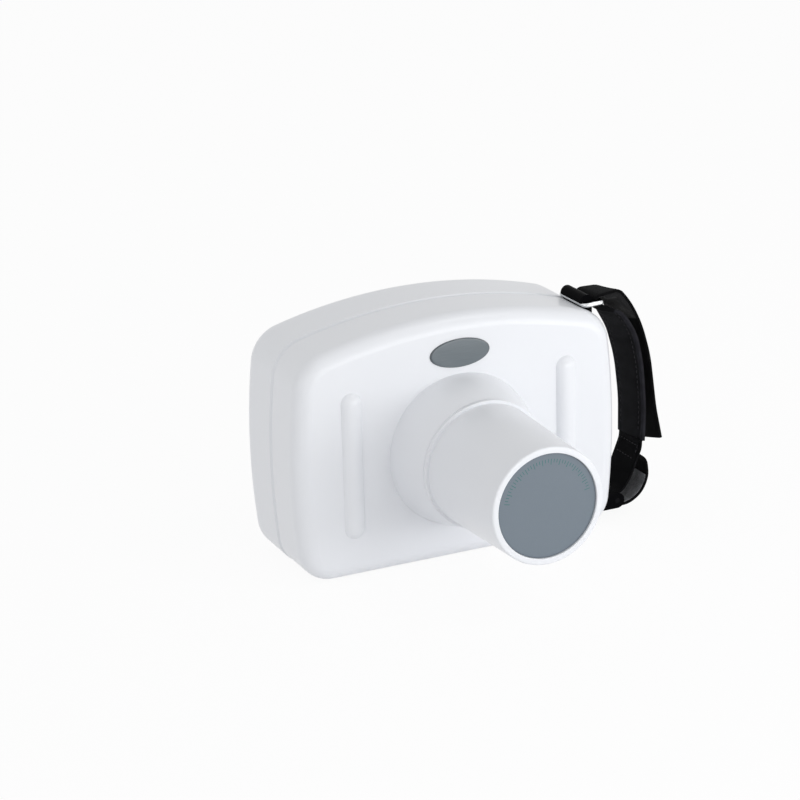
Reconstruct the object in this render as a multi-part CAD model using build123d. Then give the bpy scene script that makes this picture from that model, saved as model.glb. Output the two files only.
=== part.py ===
from build123d import *
import math
import os

# A hand-held dental x-ray unit shaped like a camera: a two-shell casing, a beam cone in
# front, a control panel behind and a webbing hand strap on the +X side.
# Millimetres. +Z is up, the cone points to -Y. The origin is the middle of the flat base,
# half way through the casing's depth.

# Casing, front view: flat base, bowed sides, arched top
body_height = 143.3
body_depth = 75.0
foot_half_width = 95.0
side_bulge = 5.0
shoulder_height = 127.8
top_corner_r = 22.5
foot_corner_r = 19.5
front_edge_r = 9.0
rear_edge_r = 11.0
wall = 3.0
front_shell_depth = 35.2
parting_chamfer = 1.5
parting_step = 0.4

# Finger ribs, one each side of the cone
rib_x = 66.0
rib_width = 12.3
rib_length = 84.5
rib_middle_z = 66.6
rib_proud = 3.8

# Beam cone
cone_height = 65.3
collar_base_r = 44.0
collar_end_r = 36.8
collar_length = 27.5
lip_r = 37.0
lip_length = 3.0
lip_round = 0.8
tube_start_r = 35.2
tip_r = 32.7
cone_reach = 101.3
rim_length = 8.0
rim_round = 0.9
tube_wall = 2.4
window_r = 29.0
window_thickness = 1.5
window_recess = 1.2
liner_thickness = 0.8
beam_port_r = 8.0

# Badge, left blank
badge_z = 121.3
badge_half_length = 18.3
badge_half_height = 8.2
badge_thickness = 1.3

# Rear control panel, display and keys
panel_x = -12.0
panel_z = 71.3
panel_size = (124.0, 88.0)
panel_corner_r = 8.0
panel_thickness = 1.2
window_size = (64.0, 36.0)
window_corner_r = 3.0
window_ledge = 2.0
window_z = 89.3
key_z = 44.3
key_pitch = 23.0
key_size = (15.0, 10.0)
key_corner_r = 2.5
key_edge_r = 0.8
key_proud = 1.4
key_lip = 1.2
key_flange = 1.9
key_travel = 0.8
switch_size = 6.0
key_gap = 0.3
key_names = ["key_time_up", "key_time_down", "key_tooth", "key_patient", "key_power"]

# Exposure button, under the thumb of the hand in the strap
button_x = 72.0
button_z = 91.3
button_r = 9.0
button_proud = 3.0
button_edge_r = 1.2
button_dish_r = 40.0
button_dish = 0.7
button_flange = 2.0
button_travel = 1.8
bezel_width = 4.0
bezel_proud = 1.6
bezel_edge_r = 0.8

# Screws that close the casing
screw_places = [(-80.0, 21.3), (80.0, 21.3), (-78.0, 107.3), (78.0, 107.3)]
screw_r = 1.5
screw_head_r = 3.0
screw_head = 2.2
screw_length = 16.0
screw_well = 9.0
screw_cross = (4.0, 0.9)
boss_r = 4.6

# Tripod bush, 1/4 inch thread
bush_y = 14.0
bush_r = 6.0
thread_r = 3.175
bush_length = 12.0
bush_flange_r = 8.5
bush_flange = 2.0

# X-ray tank and the tube in it
tank_x = 38.0
tank_y = (-31.5, 8.5)
tank_z = (35.3, 95.3)
tank_wall = 2.5
tank_corner_r = 3.0
envelope_r = 13.0
envelope_half_length = 30.0
envelope_round = 7.8
glass = 1.2
anode_r = 7.0
anode_slant = 20.0
cathode_r = 6.0
collimator_r = 20.0
collimator_depth = 5.0
filter_r = 14.0
filter_thickness = 1.5

# Boards and what stands on them
board_thickness = 1.6
main_board_y = 13.0
main_board_x = (-64.0, 64.0)
main_board_z = (27.3, 113.3)
key_board_size = (112.0, 76.0)
key_board_z = 73.3
board_hole_inset = 6.0
board_hole_r = 1.6
multiplier_x = 36.0
multiplier_y = (-28.0, 4.0)
multiplier_z = 100.3
capacitor_r = 5.0
capacitor_height = 8.0
capacitor_pitch = 14.0
core_x = (-84.0, -52.0)
core_y = (-26.0, -2.0)
core_z = (49.3, 85.3)
core_leg = 8.0
bobbin_round = 3.0
bobbin_extra = 2.0
buzzer_place = (-50.0, 41.3)
buzzer_r = 6.0
buzzer_height = 7.0

# Battery: four standing cells in a holder
cell_r = 9.1
cell_length = 65.0
cell_places = [(54.0, -22.5), (54.0, -3.0), (73.5, -22.5), (73.5, -3.0)]
cell_base_z = 33.3
holder_x = (43.0, 84.5)
holder_y = (-33.5, 8.0)
holder_strut = (1.5, 2.0)

# Charging socket in the rear wall
socket_x = 66.0
socket_z = 37.3
socket_r = 5.5
socket_depth = 15.0
socket_bore_r = 3.0
socket_bore = 10.0
socket_pin_r = 1.0

# Hand strap and its anchors
strap_front_y = -26.5
strap_width = 25.0
webbing = 2.0
pad_thickness = 3.6
ring_wire_r = 1.25
ring_length = 29.0
ring_reach = 11.6
ring_bar = (83.5, 132.8)
ring_tilt = 2.5
lug_length = 23.0
lug_r = 4.0
lug_offset = (2.5, 1.4)
lower_pin = (104.0, 11.9)
lower_pin_r = 1.5
lower_cheek = 2.4
lower_cheek_r = 4.6
lower_root = 14.0
lower_gap = 6.6
side_gap = 0.6

# The strap seen edge-on from the front, (x, z)
upper_turn = [(103.0, 125.9), (92.4, 130.27), (92.6, 136.6), (107.3, 137.2), (111.9, 127.8)]
upper_radii = [3.4, 3.2, 6.0]
tail_path = [(111.9, 127.8), (119.0, 113.3), (124.9, 94.8), (129.7, 63.3), (133.4, 44.3)]
tail_radii = [80.0, 100.0, 120.0]
pad_path = [(103.0, 125.9), (107.25, 124.15), (115.5, 109.8), (119.9, 90.3), (122.4, 65.3), (121.6, 44.5)]
pad_radii = [10.0, 40.0, 100.0, 120.0]
lower_path = [
    (121.6, 44.5),
    (121.44, 40.3),
    (114.6, 23.8),
    (108.6, 15.5),
    (101.4, 14.5),
    (101.2, 8.9),
    (112.0, 6.9),
    (122.4, 12.9),
    (126.3, 22.8),
    (124.9, 33.1),
    (120.5, 35.1),
]
lower_radii = [12.0, 24.0, 8.0, 2.6, 2.6, 14.0, 16.0, 14.0, 5.0]

# Places worked out from the sizes above
front_y = -body_depth / 2
rear_y = body_depth / 2
parting_y = front_y + front_shell_depth
strap_middle_y = strap_front_y + strap_width / 2
strap_rear_y = strap_front_y + strap_width
key_board_y = rear_y - wall - 5.9
key_flange_y = rear_y - wall - key_flange
tank_middle_y = (tank_y[0] + tank_y[1]) / 2


def front_view(y):
    """A drawing plane facing the front of the unit: local x is +X and local y is +Z."""
    return Plane(origin=(0, y, 0), x_dir=(1, 0, 0), z_dir=(0, -1, 0))


def slab(sketch, y_rear, y_front):
    """The sketch, drawn in the front view, made solid between two depths."""
    return extrude(front_view(y_rear) * sketch, amount=y_rear - y_front)


def rod(x, z, radius, y_rear, y_front):
    """A round bar along Y."""
    return slab(Pos(x, z) * Circle(radius), y_rear, y_front)


def block(x_range, y_range, z_range):
    """A box from its limits along each axis."""
    sizes = [high - low for low, high in (x_range, y_range, z_range)]
    middle = [(low + high) / 2 for low, high in (x_range, y_range, z_range)]
    return Pos(*middle) * Box(*sizes)


def bow_radius(half_chord, rise):
    """Radius of the arc over a chord, from half the chord and the arc's rise."""
    return (half_chord**2 + rise**2) / (2 * rise)


def casing_outline(inset=0.0):
    """The casing's front view, drawn in by inset all round: a flat base, two bowed sides
    and an arched top, as the space common to three circles and the half plane above the base."""
    side_r = bow_radius(shoulder_height / 2, side_bulge)
    side_x = foot_half_width + side_bulge - side_r
    top_r = bow_radius(foot_half_width, body_height - shoulder_height)
    sketch = Pos(0, body_height - top_r) * Circle(top_r - inset)
    for side in (-1, 1):
        sketch &= Pos(side * side_x, shoulder_height / 2) * Circle(side_r - inset)
    sketch &= Pos(0, inset + body_height) * Rectangle(3 * body_height, 2 * body_height)
    sketch = fillet(sketch.vertices().group_by(Axis.Y)[-1], top_corner_r - inset)
    return fillet(sketch.vertices().group_by(Axis.Y)[0], foot_corner_r - inset)


outline = casing_outline()
front_outline = casing_outline(parting_step)
cavity_outline = casing_outline(wall)


def front_block():
    """The front half of the casing as a full block, a step smaller than the rear half, its front
    edge rounded."""
    solid = slab(front_outline, parting_y, front_y)
    solid = fillet(solid.edges().group_by(Axis.Y)[0], front_edge_r)
    return chamfer(solid.edges().group_by(Axis.Y)[-1], parting_chamfer)


def rear_block():
    """The rear half of the casing as a full block, its rear edge rounded."""
    solid = slab(outline, rear_y, parting_y)
    solid = fillet(solid.edges().group_by(Axis.Y)[-1], rear_edge_r)
    return chamfer(solid.edges().group_by(Axis.Y)[0], parting_chamfer)


def casing_block():
    """Both halves as plain blocks, to trim what stands on the casing."""
    return slab(outline, rear_y, parting_y) + slab(front_outline, parting_y, front_y)


def finger_rib(x):
    """One raised upright rib, half round with round ends: the part of a lying capsule that
    stands proud of the face, and a little below it."""
    radius = bow_radius(rib_width / 2, rib_proud)
    sunk_y = front_y + radius - rib_proud
    run = rib_length - rib_width
    capsule = Pos(x, sunk_y, rib_middle_z) * Cylinder(radius, run)
    for end in (-1, 1):
        capsule += Pos(x, sunk_y, rib_middle_z + end * run / 2) * Sphere(radius)
    keep = Pos(x, rib_middle_z) * Rectangle(rib_length, 2 * rib_length)
    return capsule & slab(keep, front_y + wall / 2, front_y - 2 * wall)


def front_shell():
    """Front casing half with finger ribs, beam hole and screw bosses."""
    cavity = slab(cavity_outline, parting_y, front_y + wall)
    cavity = fillet(cavity.edges().group_by(Axis.Y)[0], front_edge_r - wall)
    shell = front_block() - cavity
    for side in (-1, 1):
        shell += finger_rib(side * rib_x)
    for x, z in screw_places:
        shell += rod(x, z, boss_r, parting_y, front_y + wall)
        shell -= rod(x, z, screw_r + 0.1, parting_y, parting_y - screw_length - 2)
    shell -= rod(0, cone_height, tube_start_r - 5, front_y + wall, front_y)
    return shell


def rounded(x, z, size, corner_r, extra):
    """A front view rectangle with round corners, grown by extra all round."""
    width, height = size
    return Pos(x, z) * RectangleRounded(width + 2 * extra, height + 2 * extra, corner_r + extra)


def key_x(index):
    """Middle of one key, counted from the +X end of the row."""
    return panel_x + (len(key_names) // 2 - index) * key_pitch


def panel_outline(extra=0.0):
    """Front view outline of the control panel, grown by extra all round."""
    return rounded(panel_x, panel_z, panel_size, panel_corner_r, extra)


def key_outline(index, extra=0.0):
    """Front view outline of one key."""
    return rounded(key_x(index), key_z, key_size, key_corner_r, extra)


def window_outline(extra=0.0):
    """Front view outline of the display window."""
    return rounded(panel_x, window_z, window_size, window_corner_r, extra)


def rear_shell():
    """Rear casing half with panel recess, key and display holes, bosses and bush seat."""
    cavity = slab(cavity_outline, rear_y - wall, parting_y)
    cavity = fillet(cavity.edges().group_by(Axis.Y)[-1], rear_edge_r - wall)
    shell = rear_block() - cavity
    for x, z in screw_places:
        shell += rod(x, z, boss_r, rear_y - wall, parting_y)
        shell -= rod(x, z, screw_r + 0.2, rear_y, parting_y)
        shell -= rod(x, z, screw_head_r + 0.3, rear_y, rear_y - screw_well)
    shell -= slab(panel_outline(0.15), rear_y, rear_y - panel_thickness)
    shell -= slab(window_outline(-window_ledge), rear_y, rear_y - wall)
    for index in range(len(key_names)):
        shell -= slab(key_outline(index, key_gap), rear_y, rear_y - wall)
    shell -= rod(button_x, button_z, button_r + key_gap, rear_y, rear_y - wall)
    shell -= rod(socket_x, socket_z, socket_r + 0.1, rear_y, rear_y - wall)
    shell -= Pos(0, bush_y, wall / 2) * Cylinder(bush_r + 0.05, wall)
    return shell


def turned(profile):
    """The profile spun round the cone's axis: local x is the radius, local y runs forward."""
    half = Plane(origin=(0, front_y, cone_height), x_dir=(1, 0, 0), z_dir=(0, 0, -1)) * profile
    return revolve(half, axis=Axis((0, front_y, cone_height), (0, -1, 0)))


def ring_profile(corners):
    """A turned profile with straight sides from (radius, forward) corners."""
    return make_face(Polyline(*corners, close=True))


def cone_collar():
    """Flared collar between the front face and the cone, hollow for the beam."""
    inner_base = collar_base_r - 10
    inner_end = collar_end_r - 5
    corners = [
        (inner_base, 0),
        (collar_base_r, 0),
        (collar_end_r, collar_length),
        (inner_end, collar_length),
    ]
    return turned(ring_profile(corners))


def lip_ring():
    """Rounded lip where the cone meets the collar, a step up from the cone."""
    start = collar_length
    body = [
        (tube_start_r - 4, start),
        (lip_r, start),
        (lip_r, start + lip_length),
        (tube_start_r - 4, start + lip_length),
    ]
    ring = turned(ring_profile(body))
    outer = ring.edges().filter_by(GeomType.CIRCLE).sort_by(SortBy.RADIUS)[-2:]
    return fillet(outer.sort_by(Axis.Y)[:1], lip_round)


def cone_radius(forward):
    """Outer radius of the tapered cone at a distance in front of the face."""
    start = collar_length + lip_length
    share = (forward - start) / (cone_reach - start)
    return tube_start_r + (tip_r - tube_start_r) * share


def cone_tube():
    """Tapered plastic tube from the lip ring to the end rim."""
    start = collar_length + lip_length
    end = cone_reach - rim_length
    corners = [
        (cone_radius(start) - tube_wall, start),
        (cone_radius(start), start),
        (cone_radius(end), end),
        (cone_radius(end) - tube_wall, end),
    ]
    return turned(ring_profile(corners))


def cone_liner():
    """Thin metal lining that stops stray x-rays leaving the tube's side."""
    start = collar_length + lip_length
    end = cone_reach - rim_length
    gap = tube_wall + 0.2
    corners = [
        (cone_radius(start) - gap - liner_thickness, start),
        (cone_radius(start) - gap, start),
        (cone_radius(end) - gap, end),
        (cone_radius(end) - gap - liner_thickness, end),
    ]
    return turned(ring_profile(corners))


def end_rim():
    """Straight end of the cone: a rounded rim round the sunk window."""
    start = cone_reach - rim_length
    ledge = cone_reach - window_recess - window_thickness
    corners = [
        (window_r - 3, start),
        (tip_r, start),
        (tip_r, cone_reach),
        (window_r + 0.1, cone_reach),
        (window_r + 0.1, ledge),
        (window_r - 3, ledge),
    ]
    rim = turned(ring_profile(corners))
    outer = rim.edges().filter_by(GeomType.CIRCLE).sort_by(Axis.Y)[:2]
    outer = outer.sort_by(SortBy.RADIUS)[-1:]
    return fillet(outer, rim_round)


def end_window():
    """Grey x-ray window disc, sunk a little into the rim."""
    near = cone_reach - window_recess - window_thickness
    return rod(0, cone_height, window_r, front_y - near, front_y - near - window_thickness)


def badge():
    """Blank oval plate with a rounded edge."""
    plate = Pos(0, badge_z) * Ellipse(badge_half_length, badge_half_height)
    solid = slab(plate, front_y, front_y - badge_thickness)
    return fillet(solid.edges().group_by(Axis.Y)[0], 0.6)


def tank():
    """Sealed metal tank with a round beam port in its front wall."""
    outer = fillet(block((-tank_x, tank_x), tank_y, tank_z).edges(), tank_corner_r)
    inner_x = tank_x - tank_wall
    inner_y = (tank_y[0] + tank_wall, tank_y[1] - tank_wall)
    inner_z = (tank_z[0] + tank_wall, tank_z[1] - tank_wall)
    inner = block((-inner_x, inner_x), inner_y, inner_z)
    port = rod(0, cone_height, beam_port_r, tank_y[0] + tank_wall, tank_y[0])
    return outer - inner - port


def along_x(radius, x_low, x_high):
    """A round bar along X on the x-ray tube's axis."""
    length = x_high - x_low
    place = Pos((x_low + x_high) / 2, tank_middle_y, cone_height) * Rot(0, 90, 0)
    return place * Cylinder(radius, length)


def tube_envelope():
    """Glass bulb of the x-ray tube, round at both ends."""
    outer = along_x(envelope_r, -envelope_half_length, envelope_half_length)
    outer = fillet(outer.edges(), envelope_round)
    inner = along_x(envelope_r - glass, -envelope_half_length + glass, envelope_half_length - glass)
    inner = fillet(inner.edges(), envelope_round - glass)
    return outer - inner


def tube_anode():
    """Copper anode with the slanted target face."""
    bar = along_x(anode_r, 3.0, envelope_half_length - glass - 1)
    slant = Pos(3.0, tank_middle_y, cone_height) * Rot(0, 0, anode_slant) * Box(6, 30, 30)
    return bar - slant


def tube_cathode():
    """Cathode cup with a slot for the filament."""
    cup = along_x(cathode_r, -envelope_half_length + glass + 1, -9.0)
    slot = Pos(-9.5, tank_middle_y, cone_height) * Box(3, 2, 8)
    return cup - slot


def collimator():
    """Heavy ring in front of the tank that limits the beam."""
    near = front_y - tank_y[0]
    far = near + collimator_depth
    corners = [(beam_port_r, near), (collimator_r, near), (collimator_r, far), (beam_port_r - 2, far)]
    return turned(ring_profile(corners))


def beam_filter():
    """Aluminium filter disc in front of the collimator."""
    start_y = tank_y[0] - collimator_depth
    return rod(0, cone_height, filter_r, start_y, start_y - filter_thickness)


def main_board():
    """Power and control board behind the tank."""
    board_y = (main_board_y, main_board_y + board_thickness)
    board = block(main_board_x, board_y, main_board_z)
    for x in (main_board_x[0] + board_hole_inset, main_board_x[1] - board_hole_inset):
        for z in (main_board_z[0] + board_hole_inset, main_board_z[1] - board_hole_inset):
            board -= rod(x, z, board_hole_r, board_y[1], board_y[0])
    return board


def narrowed(limits, amount):
    """A low and a high limit, each drawn in by the amount."""
    return (limits[0] + amount, limits[1] - amount)


def transformer_core():
    """Square iron core of the step-up transformer, open through its middle."""
    opening = block(narrowed(core_x, core_leg), core_y, narrowed(core_z, core_leg))
    return block(core_x, core_y, core_z) - opening


def transformer_winding():
    """Wound bobbin that fills the core's opening and stands out of it a little."""
    bobbin_y = narrowed(core_y, -bobbin_extra)
    bobbin = block(narrowed(core_x, core_leg), bobbin_y, narrowed(core_z, core_leg))
    return fillet(bobbin.edges().filter_by(Axis.Y), bobbin_round)


def multiplier_board():
    """Voltage multiplier board above the tank with a row of capacitors."""
    top = multiplier_z + board_thickness
    board = block((-multiplier_x, multiplier_x), multiplier_y, (multiplier_z, top))
    for step in range(-2, 3):
        place = Pos(capacitor_pitch * step, sum(multiplier_y) / 2, top + capacitor_height / 2)
        board += place * Cylinder(capacitor_r, capacitor_height)
    return board


def battery_cells():
    """Four round lithium cells standing on end."""
    upright = Cylinder(cell_r, cell_length)
    return [Pos(x, y, cell_base_z + cell_length / 2) * upright for x, y in cell_places]


def battery_holder():
    """Tray and top plate that hold the four cells."""
    high_z = cell_base_z + cell_length
    low = block(holder_x, holder_y, (cell_base_z - 6, cell_base_z + 4))
    high = block(holder_x, holder_y, (high_z - 4, high_z + 2.5))
    strut_x = (holder_x[0], holder_x[0] + holder_strut[0])
    strut_y = (holder_y[0], holder_y[0] + holder_strut[1])
    holder = low + high + block(strut_x, strut_y, (cell_base_z, high_z))
    for x, y in cell_places:
        pocket = Cylinder(cell_r + 0.2, cell_length)
        holder -= Pos(x, y, cell_base_z + cell_length / 2) * pocket
    return holder


def key_board():
    """Small board that carries the key switches and the display."""
    width, height = key_board_size
    sheet = Pos(panel_x, key_board_z) * Rectangle(width, height)
    return slab(sheet, key_board_y, key_board_y - board_thickness)


def key_switches():
    """One tact switch behind each key."""
    switches = []
    top = key_flange_y - key_travel - 0.2
    for index in range(len(key_names)):
        place = Pos(key_x(index), key_z)
        case = slab(place * Rectangle(switch_size, switch_size), top - 1, key_board_y)
        switches.append(case + slab(place * Circle(switch_size * 0.28), top, top - 1))
    return switches


def display():
    """Display module on the key board, behind the window."""
    width, height = window_size
    sheet = Pos(panel_x, window_z) * Rectangle(width + 2, height)
    return slab(sheet, rear_y - wall - 0.3, key_board_y)


def display_window():
    """Clear window, flush in the panel."""
    return slab(window_outline(), rear_y, rear_y - panel_thickness)


def control_panel():
    """Flat panel overlay with the window opening and the key holes."""
    sheet = slab(panel_outline(), rear_y, rear_y - panel_thickness)
    sheet -= slab(window_outline(0.1), rear_y, rear_y - panel_thickness)
    for index in range(len(key_names)):
        sheet -= slab(key_outline(index, key_gap), rear_y, rear_y - panel_thickness)
    return sheet


def key(index):
    """One key: a rounded cap, a stem through the panel and a flange behind the wall."""
    seat = rear_y - wall - key_gap
    cap = slab(key_outline(index), rear_y + key_proud, seat)
    cap = fillet(cap.edges().group_by(Axis.Y)[-1], key_edge_r)
    return cap + slab(key_outline(index, key_lip), seat, key_flange_y)


def exposure_button():
    """Round exposure button with a shallow thumb dish and a flange behind the wall."""
    top = rear_y + button_proud
    seat = rear_y - wall - key_gap
    cap = rod(button_x, button_z, button_r, top, seat)
    cap = fillet(cap.edges().group_by(Axis.Y)[-1], button_edge_r)
    dish = Pos(button_x, top + button_dish_r - button_dish, button_z) * Sphere(button_dish_r)
    return cap - dish + rod(button_x, button_z, button_r + key_lip, seat, seat - button_flange)


def button_bezel():
    """Ring round the exposure button, on the rear wall."""
    top = rear_y + bezel_proud
    ring = rod(button_x, button_z, button_r + bezel_width, top, rear_y)
    ring = fillet(ring.edges().group_by(Axis.Y)[-1], bezel_edge_r)
    return ring - rod(button_x, button_z, button_r + key_gap, top, rear_y)


def exposure_switch():
    """Switch and its small board behind the exposure button."""
    plunger_y = rear_y - wall - key_gap - button_flange - button_travel - 0.1
    case_y = plunger_y - 1.7
    board_y = case_y - 4
    board = slab(Pos(button_x - 2, button_z) * Rectangle(20, 20), board_y, board_y - board_thickness)
    case = slab(Pos(button_x, button_z) * Rectangle(12, 12), case_y, board_y)
    return board + case + rod(button_x, button_z, 2.5, plunger_y, case_y)


def charge_socket():
    """Charging socket: a collar flush with the rear wall, a barrel hole and a centre pin."""
    body = Pos(socket_x, socket_z) * Rectangle(2 * socket_r, 2 * socket_r)
    bore_y = rear_y - socket_bore
    socket = rod(socket_x, socket_z, socket_r, rear_y, rear_y - wall)
    socket += slab(body, rear_y - wall, rear_y - socket_depth)
    socket -= rod(socket_x, socket_z, socket_bore_r, rear_y, bore_y)
    return socket + rod(socket_x, socket_z, socket_pin_r, rear_y - 1.5, bore_y)


def buzzer():
    """Round buzzer on the main board."""
    x, z = buzzer_place
    top = main_board_y + board_thickness + buzzer_height
    can = rod(x, z, buzzer_r, top, top - buzzer_height)
    return can - rod(x, z, buzzer_r / 6, top, top - 2)


def case_screws():
    """Four screws from the rear wall into the front shell's bosses."""
    screws = []
    seat = rear_y - screw_well
    top = seat + screw_head
    arm, width = screw_cross
    for x, z in screw_places:
        shank = rod(x, z, screw_r, seat, parting_y - screw_length)
        head = rod(x, z, screw_head_r, top, seat)
        head = fillet(head.edges().group_by(Axis.Y)[-1], screw_head_r / 4)
        cross = Rectangle(arm, width) + Rectangle(width, arm)
        screws.append(head + shank - slab(Pos(x, z) * cross, top, top - 1))
    return screws


def tripod_bush():
    """Brass threaded bush in the base, flush with it, with a flange inside."""
    bush = Pos(0, bush_y, bush_length / 2) * Cylinder(bush_r, bush_length)
    bush += Pos(0, bush_y, wall + bush_flange / 2) * Cylinder(bush_flange_r, bush_flange)
    return bush - Pos(0, bush_y, bush_length / 2) * Cylinder(thread_r, bush_length)


def strap_band(points, radii, thickness):
    """A stretch of the strap: a path of straight runs and tangent arcs seen from the front,
    given the strap's thickness across the path and its width along Y."""
    path = FilletPolyline(*points, radius=radii)
    return slab(trace(path, line_width=thickness), strap_rear_y, strap_front_y)


def upper_lug():
    """Moulded hump on the casing's shoulder with a groove that the ring's inner bar snaps into
    and turns in."""
    bar_x, bar_z = ring_bar
    hump_x = bar_x + lug_offset[0]
    hump_z = bar_z + lug_offset[1]
    hump = Pos(hump_x, hump_z) * Circle(lug_r)
    foot = Pos(hump_x + 0.9, hump_z - lug_r) * Rectangle(2 * lug_r - 2.6, 2 * lug_r)
    groove = Pos(bar_x, bar_z) * Circle(ring_wire_r + 0.3)
    profile = hump + foot - groove
    rear = strap_middle_y + lug_length / 2
    return slab(profile, rear, rear - lug_length) - casing_block()


def upper_ring():
    """Rectangular wire ring; its inner bar turns in the lug, the strap goes round the other."""
    bar_x, bar_z = ring_bar
    tilt = math.radians(ring_tilt)
    outward = (math.cos(tilt), 0, math.sin(tilt))
    middle = (bar_x + outward[0] * ring_reach / 2, strap_middle_y, bar_z + outward[2] * ring_reach / 2)
    plane = Plane(origin=middle, x_dir=outward, z_dir=(-outward[2], 0, outward[0]))
    loop = (plane * RectangleRounded(ring_reach, ring_length, 2.4)).wire()
    start = loop.edges().sort_by(Axis.X)[0]
    section = Plane(origin=start @ 0.5, z_dir=start % 0.5) * Circle(ring_wire_r)
    return sweep(section, path=loop)


def lower_lug():
    """Moulded bracket on the casing's side, two cheeks that hold the lower pin."""
    pin_x, pin_z = lower_pin
    height = 2 * lower_cheek_r
    profile = Pos(pin_x, pin_z) * Circle(lower_cheek_r)
    profile += Pos(pin_x - lower_root / 2, pin_z) * Rectangle(lower_root, height)
    backing_width = lower_root - lower_gap
    backing = Pos(pin_x - lower_gap - backing_width / 2, pin_z) * Rectangle(backing_width, height)
    front = strap_front_y - side_gap
    rear = strap_rear_y + side_gap
    lug = slab(profile, front, front - lower_cheek) + slab(profile, rear + lower_cheek, rear)
    lug += slab(backing, rear, front)
    lug -= rod(pin_x, pin_z, lower_pin_r + 0.05, rear + lower_cheek, front - lower_cheek)
    return lug - casing_block()


def lower_strap_pin():
    """Steel pin through the lower bracket."""
    reach = side_gap + lower_cheek
    return rod(lower_pin[0], lower_pin[1], lower_pin_r, strap_rear_y + reach, strap_front_y - reach)


def strap_upper_loop():
    """Webbing turned round the ring's outer bar."""
    return strap_band(upper_turn, upper_radii, webbing)


def strap_tail():
    """Free outer end of the webbing with its hook-and-loop face."""
    return strap_band(tail_path, tail_radii, webbing)


def strap_pad():
    """Double, padded middle of the strap, over the back of the hand."""
    return strap_band(pad_path, pad_radii, pad_thickness)


def strap_lower_loop():
    """Webbing from the pad round the lower pin and back up to its stitched end."""
    return strap_band(lower_path, lower_radii, webbing)


def save(name, shape):
    """Write one node's file; a list is a group of separate solids."""
    if isinstance(shape, list):
        shape = Compound(children=shape)
    export_step(shape, os.path.join("parts", name + ".step"))


def build():
    """Make every node of the unit."""
    os.makedirs("parts", exist_ok=True)
    nodes = {
        "front_shell": front_shell(),
        "rear_shell": rear_shell(),
        "cone_collar": cone_collar(),
        "cone_lip_ring": lip_ring(),
        "cone_tube": cone_tube(),
        "cone_liner": cone_liner(),
        "cone_end_rim": end_rim(),
        "cone_window": end_window(),
        "badge_plate": badge(),
        "xray_tank": tank(),
        "tube_envelope": tube_envelope(),
        "tube_anode": tube_anode(),
        "tube_cathode": tube_cathode(),
        "beam_collimator": collimator(),
        "beam_filter": beam_filter(),
        "main_board": main_board(),
        "transformer_core": transformer_core(),
        "transformer_winding": transformer_winding(),
        "multiplier_board": multiplier_board(),
        "battery_cells": battery_cells(),
        "battery_holder": battery_holder(),
        "key_board": key_board(),
        "key_switches": key_switches(),
        "display_module": display(),
        "display_window": display_window(),
        "control_panel": control_panel(),
        "exposure_button": exposure_button(),
        "exposure_bezel": button_bezel(),
        "exposure_switch": exposure_switch(),
        "charge_socket": charge_socket(),
        "buzzer": buzzer(),
        "case_screws": case_screws(),
        "tripod_bush": tripod_bush(),
        "upper_strap_lug": upper_lug(),
        "upper_strap_ring": upper_ring(),
        "lower_strap_lug": lower_lug(),
        "lower_strap_pin": lower_strap_pin(),
        "strap_upper_loop": strap_upper_loop(),
        "strap_tail": strap_tail(),
        "strap_pad": strap_pad(),
        "strap_lower_loop": strap_lower_loop(),
    }
    for index, name in enumerate(key_names):
        nodes[name] = key(index)
    for name, shape in nodes.items():
        save(name, shape)


build()
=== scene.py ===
import math

import bpy
import numpy as np
from bpy.props import FloatProperty, FloatVectorProperty, PointerProperty
from mathutils import Matrix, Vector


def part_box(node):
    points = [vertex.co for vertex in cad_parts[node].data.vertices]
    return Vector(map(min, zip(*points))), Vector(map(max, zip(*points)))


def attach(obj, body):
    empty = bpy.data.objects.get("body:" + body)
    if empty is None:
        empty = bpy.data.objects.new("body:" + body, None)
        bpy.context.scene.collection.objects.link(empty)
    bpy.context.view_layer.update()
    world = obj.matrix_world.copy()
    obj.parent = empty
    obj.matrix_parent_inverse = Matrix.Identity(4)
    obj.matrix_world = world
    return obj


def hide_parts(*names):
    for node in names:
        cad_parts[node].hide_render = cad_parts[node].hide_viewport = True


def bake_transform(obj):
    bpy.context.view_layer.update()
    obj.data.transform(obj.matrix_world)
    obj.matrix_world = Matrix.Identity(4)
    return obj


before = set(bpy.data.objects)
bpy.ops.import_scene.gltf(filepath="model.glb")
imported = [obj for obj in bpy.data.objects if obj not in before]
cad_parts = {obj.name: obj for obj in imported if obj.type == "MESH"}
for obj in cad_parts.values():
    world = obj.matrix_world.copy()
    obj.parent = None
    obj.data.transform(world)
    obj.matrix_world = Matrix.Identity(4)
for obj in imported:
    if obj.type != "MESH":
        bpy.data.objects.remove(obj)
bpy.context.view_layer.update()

# A hand-held dental x-ray unit: a white casing shaped like a camera, a round beam cone in front,
# keys and a display behind, and a black webbing hand strap on the +X side.
# Metres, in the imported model's frame: +Z up, the cone points to -Y, the base stands at z = 0.

bl_info = {
    "name": "Dental x-ray unit",
    "version": (1, 0, 0),
    "blender": (4, 5, 0),
    "location": "View3D > Sidebar > X-ray Unit",
    "description": "Builds the looks of a hand-held dental x-ray unit around its packed parts",
    "category": "Object",
}

MM = 0.001


def mm(*values):
    """Values in millimetres as an array in metres."""
    return np.array(values, float) * MM


def span(node, axis):
    """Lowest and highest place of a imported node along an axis, 0 to 2."""
    low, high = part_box(node)
    return low[axis], high[axis]


def middle(node, axis):
    """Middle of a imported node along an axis."""
    return sum(span(node, axis)) / 2


def extent(node, axis):
    """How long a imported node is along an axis."""
    low, high = span(node, axis)
    return high - low


def forward(node):
    """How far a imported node's rear and front ends lie before the casing's front face."""
    front, rear = span(node, 1)
    return FACE_Y - rear, FACE_Y - front


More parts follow.
